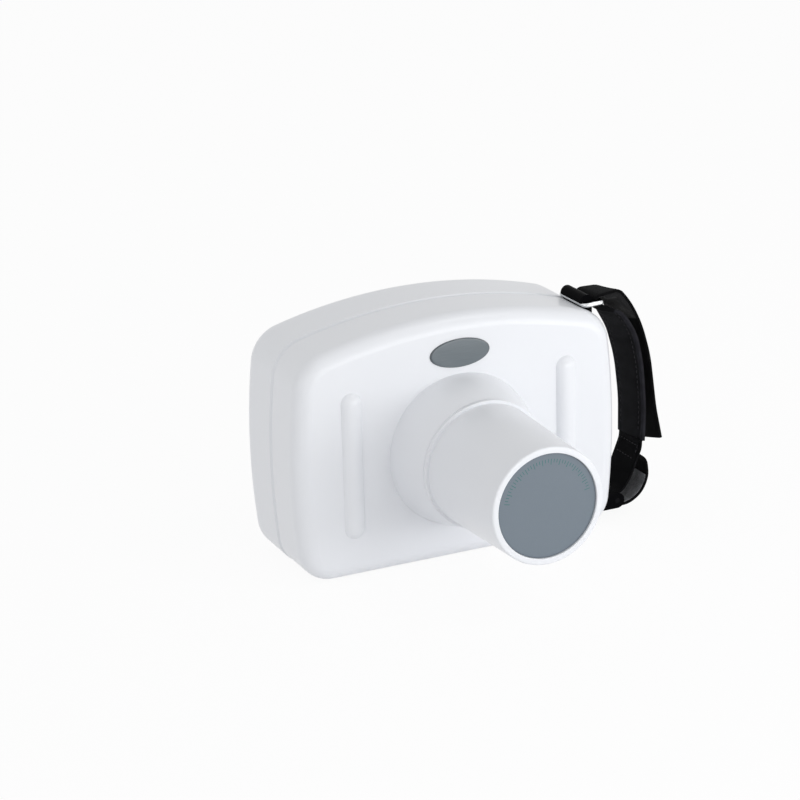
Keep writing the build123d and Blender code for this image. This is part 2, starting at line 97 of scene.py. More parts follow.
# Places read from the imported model
FACE_Y = span("cone_collar", 1)[1]
CONE_Z = middle("cone_tube", 2)
STRAP_Y = middle("strap_pad", 1)
STRAP_WIDTH = extent("strap_pad", 1)

# The strap's front and rear edge lines, (x, z) in millimetres, and the radii of their turns. The strap is
# a little twisted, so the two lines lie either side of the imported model's path.
TAPE_FRONT = [(103.4, 126.1), (91.6, 129.4), (91.6, 136.4), (107.0, 138.2), (114.0, 130.6)]
TAPE_FRONT += [(121.6, 115.0), (127.0, 95.8), (131.0, 63.3), (135.6, 41.2)]
TAPE_REAR = [(102.6, 125.7), (92.5, 129.9), (92.8, 135.0), (106.0, 134.7), (112.0, 126.8)]
TAPE_REAR += [(119.8, 113.3), (125.6, 94.8), (129.9, 63.3), (134.0, 41.0)]
TAPE_RADII = [[3.6, 3.2, 5.0, 60.0, 80.0, 100.0, 120.0], [3.0, 2.5, 4.0, 60.0, 80.0, 100.0, 120.0]]
PAD_FRONT = [(103.4, 126.1), (108.8, 124.6), (118.2, 110.6), (122.2, 90.3), (123.9, 65.3), (123.2, 44.5)]
PAD_REAR = [(102.6, 125.7), (105.0, 123.3), (112.8, 109.4), (118.2, 90.3), (121.0, 65.3), (120.9, 44.5)]
PAD_RADII = [9.0, 40.0, 100.0, 120.0]
LOWER_LOOP = [
    (121.6, 44.5),
    (121.44, 40.3),
    (114.6, 23.8),
    (108.6, 15.5),
    (101.4, 14.5),
    (101.2, 8.9),
    (112.0, 6.9),
    (122.4, 12.9),
    (126.3, 22.8),
    (124.9, 33.1),
    (120.5, 35.1),
]
LOWER_RADII = [12.0, 24.0, 8.0, 2.6, 2.6, 14.0, 16.0, 14.0, 5.0]

# Aim of the camera beside the cone's foot, to the right and up
AIM = (-33.429 * MM, 27.889 * MM)


# Both sides of a thing, and its four edges as pairs of sides
SIDES = (-1, 1)
EDGES = [(side, face) for side in SIDES for face in SIDES]

# Edges of a cloth piece sharper than this many degrees stay sharp
CLOTH_ANGLE = 60.0

# The thin clear coat of the white plastic
SATIN = {"coat_weight": 0.08, "coat_roughness": 0.16}


def linear(red, green, blue):
    """A colour given in display values of 0 to 255, as the linear values that shaders take."""
    shown = np.array((red, green, blue), float) / 255
    return tuple(np.where(shown <= 0.04045, shown / 12.92, ((shown + 0.055) / 1.055) ** 2.4))


def colour_property(name, description, shown):
    """A colour that the user can change, given in display values."""
    return FloatVectorProperty(
        name=name, description=description, subtype="COLOR", size=3, min=0.0, max=1.0, default=linear(*shown)
    )


def size_property(name, description, millimetres):
    """A length that the user can change, shown in the scene's units."""
    settings = {"subtype": "DISTANCE", "unit": "LENGTH", "min": 0.0}
    return FloatProperty(name=name, description=description, default=millimetres * MM, **settings)


def number_property(name, description, default):
    """A plain number that the user can change."""
    return FloatProperty(name=name, description=description, default=default)


class CasingSettings(bpy.types.PropertyGroup):
    """Colours of the casing, cone and badge."""

    white: colour_property("White", "Moulded white of the casing and cone", (231, 233, 237))
    window: colour_property("Window", "Sheet over the cone's end", (107, 118, 128))
    badge: colour_property("Badge", "Ground colour of the blank oval badge", (90, 100, 106))
    print_teal: colour_property("Print", "Printed marks on the window", (62, 112, 112))
    collar_bulge: number_property("Collar bulge", "Power of the collar's outline: 1 is straight", 1.16)
    lip_round: size_property("Lip round", "Radius of the front edge of the lip at the cone's foot", 0.55)
    rim_round: size_property("Rim round", "Radius of the cone end's outer edge", 1.1)


class ControlSettings(bpy.types.PropertyGroup):
    """Colours of the rear panel, keys and button."""

    panel: colour_property("Panel", "Membrane of the control panel", (150, 158, 166))
    key: colour_property("Key", "Light keys", (226, 228, 230))
    key_accent: colour_property("Power key", "Blue power key", (62, 116, 160))
    mark: colour_property("Mark", "Printed marks on the keys", (48, 62, 78))
    button: colour_property("Button", "Orange exposure button", (224, 118, 40))
    screen: colour_property("Screen", "Lit ground of the display", (148, 172, 160))
    mark_height: size_property("Mark height", "How far print stands off a surface", 0.06)


class StrapSettings(bpy.types.PropertyGroup):
    """Sizes and colours of the hand strap."""

    webbing: colour_property("Webbing", "Black nylon webbing", (9, 9, 10))
    pad: colour_property("Pad", "Knit face of the pad", (12, 12, 14))
    # Pale grey of the loop cloth lining: painted light on the inner face of the lower turn
    painted_light_lining: colour_property("Lining", "Loop cloth inside the lower turn", (104, 105, 108))
    thread: colour_property("Thread", "Sewing thread", (34, 34, 38))
    binding: colour_property("Binding", "Tape round the pad's edges", (34, 34, 38))
    webbing_thickness: size_property("Webbing thickness", "Thickness of the woven tape", 2.0)
    tail_slant: size_property("Tail slant", "How far the tail's rear corner reaches past its middle", 3.3)
    weave_along: size_property("Weave along", "Length of one woven rib along the tape", 2.4)
    weave_across: size_property("Weave across", "Width of one woven rib across the tape", 2.08)
    weave_relief: size_property("Weave relief", "Height of the woven ribs", 0.09)
    pad_thickness: size_property("Pad thickness", "Thickness of the pad at its middle", 3.6)
    stitch_length: size_property("Stitch length", "Length of one stitch", 2.2)
    stitch_gap: size_property("Stitch gap", "Gap from one stitch to the next", 0.9)
    thread_radius: size_property("Thread radius", "Radius of the sewing thread", 0.24)


class StageSettings(bpy.types.PropertyGroup):
    """Camera, lamps and floor."""

    azimuth: number_property("Azimuth", "Camera's turn round the unit, degrees", -24.729)
    elevation: number_property("Elevation", "Camera's height angle, degrees", 18.92)
    roll: number_property("Roll", "Camera's roll, degrees", -1.616)
    distance: size_property("Distance", "Camera's distance", 1442.636)
    lens: number_property("Lens", "Focal length in millimetres on a 36 mm frame", 116.93)
    sky: number_property("Sky", "Strength of the light from all round, at the height of the horizon", 0.82)
    zenith: number_property("Zenith", "Strength of the light from straight above", 0.53)
    key: number_property("Key lamp", "Power of the large low lamp in front, in watts", 2.9)
    top: number_property("Top lamp", "Power of the lamp above the front, in watts", 3.1)
    fill: number_property("Fill lamp", "Power of the large lamp on the left, in watts", 1.5)
    floor_glow: number_property("Floor white", "Share of plain white in the floor that the camera sees", 0.93)


class UnitSettings(bpy.types.PropertyGroup):
    """All settings of the unit."""

    casing: PointerProperty(type=CasingSettings)
    controls: PointerProperty(type=ControlSettings)
    strap: PointerProperty(type=StrapSettings)
    stage: PointerProperty(type=StageSettings)


# Shapes

def unit(vectors):
    """Vectors along the last axis, scaled to length one."""
    return vectors / np.linalg.norm(vectors, axis=-1, keepdims=True)


def ease(share):
    """Smooth rise from 0 to 1: three times the square less twice the cube."""
    share = np.clip(share, 0, 1)
    return share * share * (3 - 2 * share)


def full_turn(count):
    """Angles of a whole turn, an even step apart."""
    return np.linspace(0, 2 * math.pi, count, endpoint=False)


def rounded_line(corners, radii, closed=False, steps=10):
    """A flat line through corners, each turned by a tangent arc. The arc starts its radius times the
    tangent of half the turn before the corner, and its centre lies square to the line there."""
    corners = np.asarray(corners, float)
    count = len(corners)
    inner = range(count) if closed else range(1, count - 1)
    parts = [] if closed else [corners[:1]]
    for index, radius in zip(inner, radii):
        here = corners[index]
        arrive = unit(here - corners[index - 1])
        leave = unit(corners[(index + 1) % count] - here)
        turn = math.atan2(arrive[0] * leave[1] - arrive[1] * leave[0], arrive @ leave)
        side = math.copysign(1, turn) * np.array([-arrive[1], arrive[0]])
        start = here - arrive * radius * abs(math.tan(turn / 2))
        angle = np.linspace(0, turn, steps if radius > 0 else 1)[:, None]
        spoke = -side * radius
        across = np.array([-spoke[1], spoke[0]])
        parts.append(start - spoke + spoke * np.cos(angle) + across * np.sin(angle))
    if not closed:
        parts.append(corners[-1:])
    return np.concatenate(parts)


def along(line):
    """Distance along a line at each of its points."""
    return np.concatenate([[0], np.cumsum(np.linalg.norm(np.diff(line, axis=0), axis=1))])


def points_at(line, wanted):
    """Points of the line at given distances along it."""
    there = along(line)
    return np.stack([np.interp(wanted, there, part) for part in line.T], 1)


def finer(line, longest):
    """The line with points put in so that no step is longer than the longest."""
    there = along(line)
    extra = np.arange(0, there[-1], longest)
    wanted = np.unique(np.round(np.concatenate([there, extra]), 9))
    keep = np.concatenate([[True], np.diff(wanted) > 0.02 * longest])
    return points_at(line, wanted[keep])


def finer_loop(outline, longest):
    """The same for a closed outline."""
    return finer(np.concatenate([outline, outline[:1]]), longest)[:-1]


def soften(line, reach):
    """The line with each point moved to a weighted mean of those within reach points, ends kept."""
    before = 2 * line[0] - line[reach:0:-1]
    after = 2 * line[-1] - line[-2:-reach - 2:-1]
    whole = np.concatenate([before, line, after])
    weights = np.hanning(2 * reach + 3)[1:-1]
    weights /= weights.sum()
    return np.stack([np.convolve(part, weights, mode="valid") for part in whole.T], 1)


def spaced(line, count):
    """The line again, with a given number of points an even distance apart."""
    return points_at(line, np.linspace(0, along(line)[-1], count))


class Rails:
    """A strap's run: its front and rear edge lines in x and z, point for point, with the cloth straight
    from one to the other."""

    step = 0.5 * MM

    def __init__(self, front, rear, radii, rear_radii=None, reach=4):
        raw = []
        for corners, turns in ((front, radii), (rear, rear_radii or radii)):
            raw.append(rounded_line(mm(*corners), [radius * MM for radius in turns], steps=24))
        count = int(along(raw[0])[-1] / self.step) + 1
        self.lines = np.stack([spaced(soften(spaced(line, count), reach), count) for line in raw])
        self.measure()

    def measure(self):
        """Distances along the middle, and unit normals to the left of each edge line's way."""
        self.reach = along(self.lines.mean(0))
        self.length = self.reach[-1]
        way = unit(np.gradient(self.lines, axis=1))
        self.normals = np.stack([-way[..., 1], way[..., 0]], -1)

    def cut(self, start, end):
        """The stretch between two distances along."""
        part = Rails.__new__(Rails)
        part.lines = self.lines[:, (self.reach >= start) & (self.reach <= end)]
        part.measure()
        return part

    def at(self, across):
        """Places and normals for each point along and each place across, front negative."""
        share = (np.atleast_1d(across) / STRAP_WIDTH + 0.5)[:, None]
        place, normal = (
            part[0][:, None] * (1 - share) + part[1][:, None] * share for part in (self.lines, self.normals)
        )
        return place, unit(normal)


class Shape:
    """A mesh put together from closed parts, each turned so that its faces point outwards."""

    def __init__(self, name):
        self.name = name
        self.points = []
        self.faces = []
        self.places = []
        self.count = 0

    def add(self, points, faces, places=None):
        """One closed part: points, lists of corner numbers, and a flat pattern place for each point."""
        points = np.asarray(points, float).reshape(-1, 3)
        fans = []
        for face in faces:
            if len(face) > 4:
                fans += [(face[0], face[k], face[k + 1]) for k in range(1, len(face) - 1)]
        simple = np.array([face for face in faces if len(face) == 4] or np.zeros((0, 4)), int)
        threes = np.array([face for face in faces if len(face) == 3] + fans or np.zeros((0, 3)), int)
        corners = np.concatenate([simple[:, [0, 1, 2]], simple[:, [0, 2, 3]], threes.reshape(-1, 3)])
        a, b, c = (points[corners[:, k]] for k in range(3))
        if np.einsum("ij,ij->", a, np.cross(b, c)) < 0:
            faces = [face[::-1] for face in faces]
        self.faces += [[corner + self.count for corner in face] for face in faces]
        self.points.append(points)
        self.places.append(np.zeros((len(points), 2)) if places is None else np.reshape(places, (-1, 2)))
        self.count += len(points)

    def grid(self, points, wrap_rows=False, caps=None, places=None):
        """A grid whose columns wrap round. Its ends are closed by a flat face on each end row (flat),
        by a strip between the two halves of the row (strip), or by rows wrapping round (wrap_rows)."""
        rows, columns = points.shape[:2]
        i = np.arange(rows if wrap_rows else rows - 1)[:, None]
        j = np.arange(columns)[None, :]
        after = (i + 1) % rows
        right = (j + 1) % columns
        corners = [i * columns + j, after * columns + j, after * columns + right, i * columns + right]
        faces = np.stack(corners, -1).reshape(-1, 4).tolist()
        for end in (0, rows - 1) if caps else ():
            row = list(range(end * columns, (end + 1) * columns))
            row = row[::-1] if end else row
            if caps == "flat":
                faces.append(row)
            else:
                half = columns // 2
                faces += [[row[k], row[k + 1], row[-2 - k], row[-1 - k]] for k in range(half - 1)]
        self.add(points, faces, places)

    def make(self, material, sharp=40.0):
        """The finished object, smooth but for edges sharper than the given angle in degrees."""
        mesh = bpy.data.meshes.new(self.name)
        mesh.from_pydata(np.concatenate(self.points).tolist(), [], self.faces)
        mesh.polygons.foreach_set("use_smooth", np.ones(len(mesh.polygons), bool))
        places = np.concatenate(self.places)
        layer = mesh.uv_layers.new(name="pattern")
        corner = np.zeros(len(mesh.loops), np.int32)
        mesh.loops.foreach_get("vertex_index", corner)
        layer.data.foreach_set("uv", places[corner].astype(np.float32).ravel())
        mesh.set_sharp_from_angle(angle=math.radians(sharp))
        mesh.materials.append(material)
        made = bpy.data.objects.new(self.name, mesh)
        bpy.context.scene.collection.objects.link(made)
        return made


def cone_radii():
    """The cone tube's radius at its lip and at the end rim, on one straight taper to the tip."""
    start = extent("cone_tube", 0) / 2
    tip = extent("cone_end_rim", 0) / 2
    share = extent("cone_tube", 1) / (span("cone_tube", 1)[1] - span("cone_end_rim", 1)[0])
    return start, start + (tip - start) * share


def turn_round(shape, profile, count=128, closed=False):
    """A profile of (radius, forward) spun round the cone's axis: x and z are the radius times the cosine
    and sine of the angle, and y runs forward from the front face."""
    angle = full_turn(count)
    radius, forward = profile[:, :1], profile[:, 1:]
    y = np.broadcast_to(FACE_Y - forward, (len(profile), count))
    points = np.stack([radius * np.cos(angle), y, CONE_Z + radius * np.sin(angle)], -1)
    turns = np.broadcast_to(angle / (2 * math.pi), (len(profile), count))
    places = np.stack([np.broadcast_to(radius, (len(profile), count)), turns], -1)
    shape.grid(points, wrap_rows=closed, caps=None if closed else "flat", places=places)


def prism(shape, outline, y_back, y_front, edge=0.0):
    """A flat piece with a closed outline of (x, z), from one depth to the other. With an edge, the outline
    draws in towards its middle by that much on the last step, as a quarter circle."""
    centre = outline.mean(0)
    reach = np.linalg.norm(outline - centre, axis=1, keepdims=True)
    turn = np.linspace(0, math.pi / 2, 6) if edge else np.zeros(1)
    way = math.copysign(1, y_front - y_back)
    rows = [(outline, y_back)]
    for angle in turn:
        drawn = edge * (1 - math.cos(angle))
        smaller = centre + (outline - centre) * (1 - drawn / reach)
        rows.append((smaller, y_front - way * edge * (1 - math.sin(angle))))
    grid = np.stack([np.stack([line[:, 0], np.full(len(line), y), line[:, 1]], 1) for line, y in rows])
    shape.grid(grid, caps="flat")


def tubes(shape, lines, radii, guide=(0.0, 1.0, 0.0), sides=8):
    """Round threads along many lines at once, pointed at both ends. Each ring is its line's point plus its
    radius times the cosine and sine of the angle along two directions square to the line."""
    lines = np.asarray(lines, float)
    count, steps = lines.shape[:2]
    way = unit(np.gradient(lines, axis=1))
    side = unit(np.cross(way, np.broadcast_to(guide, way.shape)))
    up = np.cross(side, way)
    angle = full_turn(sides)[:, None]
    rings = lines[:, 1:-1, None] + np.reshape(radii[1:-1], (1, -1, 1, 1)) * (
        np.cos(angle) * side[:, 1:-1, None] + np.sin(angle) * up[:, 1:-1, None]
    )
    inner = (steps - 2) * sides
    points = np.concatenate([rings.reshape(count, inner, 3), lines[:, :1], lines[:, -1:]], 1)
    i = np.arange(steps - 3)[:, None] * sides
    j = np.arange(sides)[None, :]
    right = (j + 1) % sides
    quads = np.stack([i + j, i + right, i + sides + right, i + sides + j], -1).reshape(-1, 4)
    last = (steps - 3) * sides
    first_fan = np.stack([np.full(sides, inner), right[0], j[0]], 1)
    last_fan = np.stack([np.full(sides, inner + 1), last + j[0], last + right[0]], 1)
    template = quads.tolist() + first_fan.tolist() + last_fan.tolist()
    size = inner + 2
    faces = [[corner + k * size for corner in face] for k in range(count) for face in template]
    shape.add(points, faces)


# Finishes

class Nodes:
    """A node tree in the making."""

    def __init__(self, tree):
        self.nodes = tree.nodes
        self.links = tree.links

    def wire(self, node, *wires):
        """Feeds a node's inputs; wires are (input, socket or value) pairs."""
        for slot, value in wires:
            if isinstance(value, bpy.types.NodeSocket):
                self.links.new(value, node.inputs[slot])
            else:
                node.inputs[slot].default_value = value

    def add(self, kind, wires=(), **settings):
        """A node with its settings and wires."""
        made = self.nodes.new(kind)
        for key, value in settings.items():
            setattr(made, key, value)
        self.wire(made, *wires)
        return made

    def seen_directly(self):
        """One for camera, glossy and transmission rays, none for the rest."""
        path = self.add("ShaderNodeLightPath").outputs
        share = path["Is Camera Ray"]
        for kind in ("Is Glossy Ray", "Is Transmission Ray"):
            either = self.add("ShaderNodeMath", [(0, share), (1, path[kind])], operation="MAXIMUM")
            share = either.outputs[0]
        return share


class Finish(Nodes):
    """A material in the making: one shader and the patterns that feed it."""

    def __init__(self, name, colour, roughness, **settings):
        self.material = bpy.data.materials.new(name)
        self.material.use_nodes = True
        super().__init__(self.material.node_tree)
        self.shader = self.nodes["Principled BSDF"]
        self.colour = tuple(colour)
        self.feed(base_color=(*self.colour, 1), roughness=roughness, **settings)
        self.place = self.add("ShaderNodeTexCoord").outputs["Object"]
        self.relief = None

    def feed(self, **inputs):
        """Feeds the shader's inputs by name, each with a socket or a value."""
        for key, value in inputs.items():
            self.wire(self.shader, (key.replace("_", " ").title().replace("Ior", "IOR"), value))

    def pattern_place(self):
        """Patterns from here on follow the piece's own flat pattern."""
        self.place = self.add("ShaderNodeUVMap", uv_map="pattern").outputs["UV"]

    def stretched(self, *scale):
        """The pattern's place, scaled along each axis."""
        return self.add("ShaderNodeMapping", [("Vector", self.place), ("Scale", scale)]).outputs["Vector"]

    def noise(self, size, detail=2.0, place=None):
        """A cloudy pattern with features of about a size in metres."""
        wires = [("Vector", place or self.place), ("Scale", 1 / size), ("Detail", detail)]
        return self.add("ShaderNodeTexNoise", wires).outputs["Fac"]

    def part(self, axis):
        """One coordinate of the pattern's place."""
        return self.add("ShaderNodeSeparateXYZ", [("Vector", self.place)]).outputs[axis]

    def math(self, operation, first, second=0.0, third=0.0):
        """One step of arithmetic."""
        wires = [(0, first), (1, second), (2, third)]
        return self.add("ShaderNodeMath", wires, operation=operation).outputs[0]

    def times(self, first, second):
        """The product of two values."""
        return self.math("MULTIPLY", first, second)

    def weigh(self, first, share, second):
        """The sum of two values, a share of the first and the rest of the second."""
        return self.math("MULTIPLY_ADD", first, share, self.times(second, 1 - share))

    def wave(self, axis, period):
        """A sine wave along one axis, with a period in metres."""
        return self.math("SINE", self.times(self.part(axis), 2 * math.pi / period))

    def ramp(self, value, low, high, at_low=0.0, at_high=1.0):
        """A value taken smoothly from one range to another."""
        names = ("Value", "From Min", "From Max", "To Min", "To Max")
        wires = list(zip(names, (value, low, high, at_low, at_high)))
        return self.add("ShaderNodeMapRange", wires, interpolation_type="SMOOTHSTEP").outputs["Result"]

    def cloud(self, size, low, high, at_low=0.0, at_high=1.0, detail=2.0):
        """A cloudy pattern of a size, taken smoothly from one range to another."""
        return self.ramp(self.noise(size, detail), low, high, at_low, at_high)

    def blend(self, share, first, second):
        """A mix of two colours, each a socket or three values."""
        wires = [(0, share)]
        for slot, value in ((6, first), (7, second)):
            wires.append((slot, value if isinstance(value, bpy.types.NodeSocket) else (*value, 1)))
        return self.add("ShaderNodeMix", wires, data_type="RGBA").outputs[2]

    def shade(self, share, low, high):
        """The finish's colour times low to high as the share goes from 0 to 1."""
        dark, light = ([min(1.0, part * times) for part in self.colour] for times in (low, high))
        return self.blend(share, dark, light)

    def tint(self, share, low, high):
        """Gives the shader that colour."""
        self.feed(base_color=self.shade(share, low, high))

    def bump(self, height, depth):
        """Fine relief of a depth in metres, laid over any that is there."""
        wires = [("Height", height), ("Distance", depth), ("Strength", 1.0)]
        if self.relief:
            wires.append(("Normal", self.relief))
        self.relief = self.add("ShaderNodeBump", wires).outputs["Normal"]
        self.feed(normal=self.relief)


def moulded(name, colour, roughness, depth=0.003 * MM, swing=0.012, **settings):
    """Moulded plastic: faint flow tone, slightly uneven gloss and fine orange peel."""
    finish = Finish(name, colour, roughness, **settings)
    tone = finish.cloud(70 * MM, 0.25, 0.75)
    speck = finish.cloud(0.8 * MM, 0.3, 0.8)
    finish.tint(finish.weigh(speck, 0.3, tone), 1 - swing, 1 + swing / 3)
    finish.feed(roughness=finish.cloud(40 * MM, 0.25, 0.75, roughness * 0.95, roughness * 1.05))
    finish.bump(finish.noise(0.5 * MM), depth)
    return finish.material


def case_white(colour):
    """The casing's satin white: moulded plastic, a little darker and rougher in patches low down, near its
    base.
    """
    finish = Finish("casing_white", colour, 0.34, **SATIN)
    ground_tone = finish.shade(finish.cloud(90 * MM, 0.25, 0.75), 0.99, 1.004)
    # Darker, slightly rougher mottled patches within 9 mm of the base, blended towards a warm grey
    low = finish.ramp(finish.part("Z"), 1.0 * MM, 9 * MM, 1.0, 0.0)
    low_patches = finish.times(low, finish.cloud(7 * MM, 0.5, 0.72, detail=4.0))
    finish.feed(base_color=finish.blend(finish.times(low_patches, 0.07), ground_tone, linear(150, 148, 142)))
    gloss = finish.cloud(45 * MM, 0.25, 0.75, 0.325, 0.355)
    finish.feed(roughness=finish.math("MULTIPLY_ADD", low_patches, 0.1, gloss))
    finish.bump(finish.noise(0.5 * MM), 0.003 * MM)
    return finish.material


def window_sheet(colour):
    """Matt blue-grey sheet with a fine even grain, darker towards its rim where the end rim's seat shades it:
    painted shade.
    """
    finish = Finish("window_grey", colour, 0.46)
    right = finish.math("POWER", finish.part("X"), 2.0)
    up = finish.math("POWER", finish.math("SUBTRACT", finish.part("Z"), float(CONE_Z)), 2.0)
    radius = finish.math("SQRT", finish.math("ADD", right, up))
    # Painted shade: the last millimetre of the sheet, by the seat's wall, darkens towards a deeper blue-grey
    rim = finish.ramp(radius, 27.6 * MM, 28.8 * MM)
    ground = finish.shade(finish.cloud(0.35 * MM, 0.3, 0.7), 0.965, 1.03)
    finish.feed(base_color=finish.blend(finish.times(rim, 0.35), ground, linear(84, 94, 104)))
    finish.feed(roughness=finish.cloud(6 * MM, 0.3, 0.7, 0.42, 0.52))
    finish.bump(finish.noise(0.3 * MM), 0.012 * MM)
    return finish.material


def badge_film(colour):
    """Grey film under a clear domed coat: a dark rim line round a faintly brushed ground."""
    finish = Finish("badge_grey", colour, 0.35, coat_weight=0.7, coat_roughness=0.06)
    brushed = finish.ramp(finish.noise(1.0, place=finish.stretched(90, 400, 5200)), 0.3, 0.7)
    ground = finish.shade(brushed, 0.95, 1.06)
    finish.pattern_place()
    rim = finish.ramp(finish.part("X"), 0.93, 0.965)
    finish.feed(base_color=finish.blend(rim, ground, linear(66, 74, 80)))
    return finish.material


def cloth(name, colour, roughness, gloss, nap, nap_roughness, **settings):
    """A fabric in the making, with the gloss of its threads and its soft nap."""
    settings |= {"specular_ior_level": gloss, "sheen_weight": nap, "sheen_roughness": nap_roughness}
    return Finish(name, colour, roughness, **settings)


def webbing_cloth(name, colour):
    """Woven nylon tape: each crossing has its own thread grain and gloss, with a dusty nap."""
    finish = cloth(name, colour, 0.8, 0.04, 0.02, 0.45, sheen_tint=(0.75, 0.78, 0.85, 1))
    finish.pattern_place()
    strand, weft = (finish.noise(1.0, place=finish.stretched(*run, 1)) for run in ((900, 5200), (5200, 900)))
    worn = finish.cloud(9 * MM, 0.35, 0.75, detail=4.0)
    finish.tint(finish.weigh(worn, 0.5, strand), 0.65, 1.7)
    finish.feed(roughness=finish.ramp(strand, 0.25, 0.75, 0.65, 0.9))
    finish.bump(strand, 0.05 * MM)
    finish.bump(weft, 0.035 * MM)
    return finish.material


def knit_cloth(name, colour):
    """Fine knit over foam: rows of small loops with a soft nap."""
    finish = cloth(name, colour, 0.85, 0.08, 0.05, 0.5, sheen_tint=(0.7, 0.72, 0.8, 1))
    finish.pattern_place()
    loops = finish.times(finish.wave("X", 1.1 * MM), finish.wave("Y", 0.9 * MM))
    finish.tint(finish.cloud(7 * MM, 0.3, 0.7, detail=4.0), 0.75, 1.4)
    finish.bump(loops, 0.07 * MM)
    finish.bump(finish.noise(0.25 * MM), 0.05 * MM)
    return finish.material


def loop_cloth(name, colour):
    """Hook-and-loop tape: a mottled matt pile."""
    finish = cloth(name, colour, 0.85, 0.2, 0.1, 0.5)
    pile = finish.cloud(0.7 * MM, 0.3, 0.7, detail=3.0)
    patch = finish.cloud(4 * MM, 0.3, 0.7, detail=3.0)
    finish.tint(finish.weigh(pile, 0.5, patch), 0.6, 1.5)
    finish.bump(pile, 0.12 * MM)
    return finish.material


def thread_finish(colour):
    """Twisted polyester thread."""
    finish = Finish("thread", colour, 0.5, specular_ior_level=0.3)
    finish.tint(finish.cloud(0.4 * MM, 0.3, 0.7), 0.7, 1.3)
    finish.bump(finish.noise(0.15 * MM, 1.0), 0.04 * MM)
    return finish.material


def metal(name, colour, roughness, scratch=0.12, grain=0.3 * MM, stretch=(1.0, 1.0, 1.0)):
    """Metal with fine scratches that break up its gloss."""
    finish = Finish(name, colour, roughness, metallic=1.0)
    place = finish.stretched(*(part / grain for part in stretch))
    fine = finish.ramp(finish.noise(1.0, 3.0, place), 0.35, 0.75)
    finish.feed(roughness=finish.math("MULTIPLY_ADD", fine, scratch, roughness))
    finish.tint(finish.cloud(4 * MM, 0.3, 0.7, detail=3.0), 0.9, 1.05)
    finish.bump(fine, 0.003 * MM)
    return finish.material


def glass(name, colour):
    """Clear pane or bulb, with faint smears in its gloss."""
    finish = Finish(name, colour, 0.04, transmission_weight=0.94, ior=1.46)
    finish.feed(roughness=finish.cloud(9 * MM, 0.4, 0.7, 0.04, 0.09, detail=3.0))
    return finish.material


def circuit_board():
    """Green solder mask with paler tracks."""
    finish = Finish("board_green", linear(22, 88, 56), 0.38)
    track = finish.ramp(finish.noise(1.0, 1.0, finish.stretched(60, 30, 420)), 0.52, 0.55)
    finish.tint(track, 0.8, 1.7)
    finish.bump(track, 0.03 * MM)
    return finish.material


def wound(name, colour):
    """Varnished winding: rows of fine wire, with painted shade in the grooves between the turns."""
    finish = Finish(name, colour, 0.35, metallic=0.6)
    rows = finish.wave("Y", 0.8 * MM)
    # Painted shade: the colour dips with the bump, darker in the grooves between the turns
    finish.tint(finish.ramp(rows, -1.0, 1.0), 0.7, 1.15)
    finish.bump(rows, 0.15 * MM)
    return finish.material


def dress(material, *nodes):
    """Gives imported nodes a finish."""
    for name in nodes:
        mesh_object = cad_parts[name]
        if mesh_object.material_slots:
            mesh_object.material_slots[0].material = material
        else:
            mesh_object.data.materials.append(material)


def stand_for(made, slot, *nodes):
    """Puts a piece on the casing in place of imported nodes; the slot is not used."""
    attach(made, "casing")
    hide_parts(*nodes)


def settings_of(context):
    """The unit's settings in this scene."""
    return context.scene.xray_unit


class XRAY_OT_casing(bpy.types.Operator):
    """Finish the two casing shells, the strap's anchors and pin, the screws and the tripod bush"""

    bl_idname = "xray.casing"
    bl_label = "Casing"

    def execute(self, context):
        dress(case_white(settings_of(context).casing.white), "front_shell", "rear_shell")
        dull = {"depth": 0.012 * MM, "swing": 0.2, "specular_ior_level": 0.01}
        black = moulded("black_plastic", linear(9, 9, 11), 0.45, **dull)
        dress(black, "upper_strap_lug", "lower_strap_lug")
        dress(metal("steel", linear(196, 198, 200), 0.28), "case_screws")
        dress(metal("black_steel", linear(20, 20, 22), 0.5), "lower_strap_pin")
        dress(metal("brass", linear(205, 172, 98), 0.3), "tripod_bush")
        return {"FINISHED"}


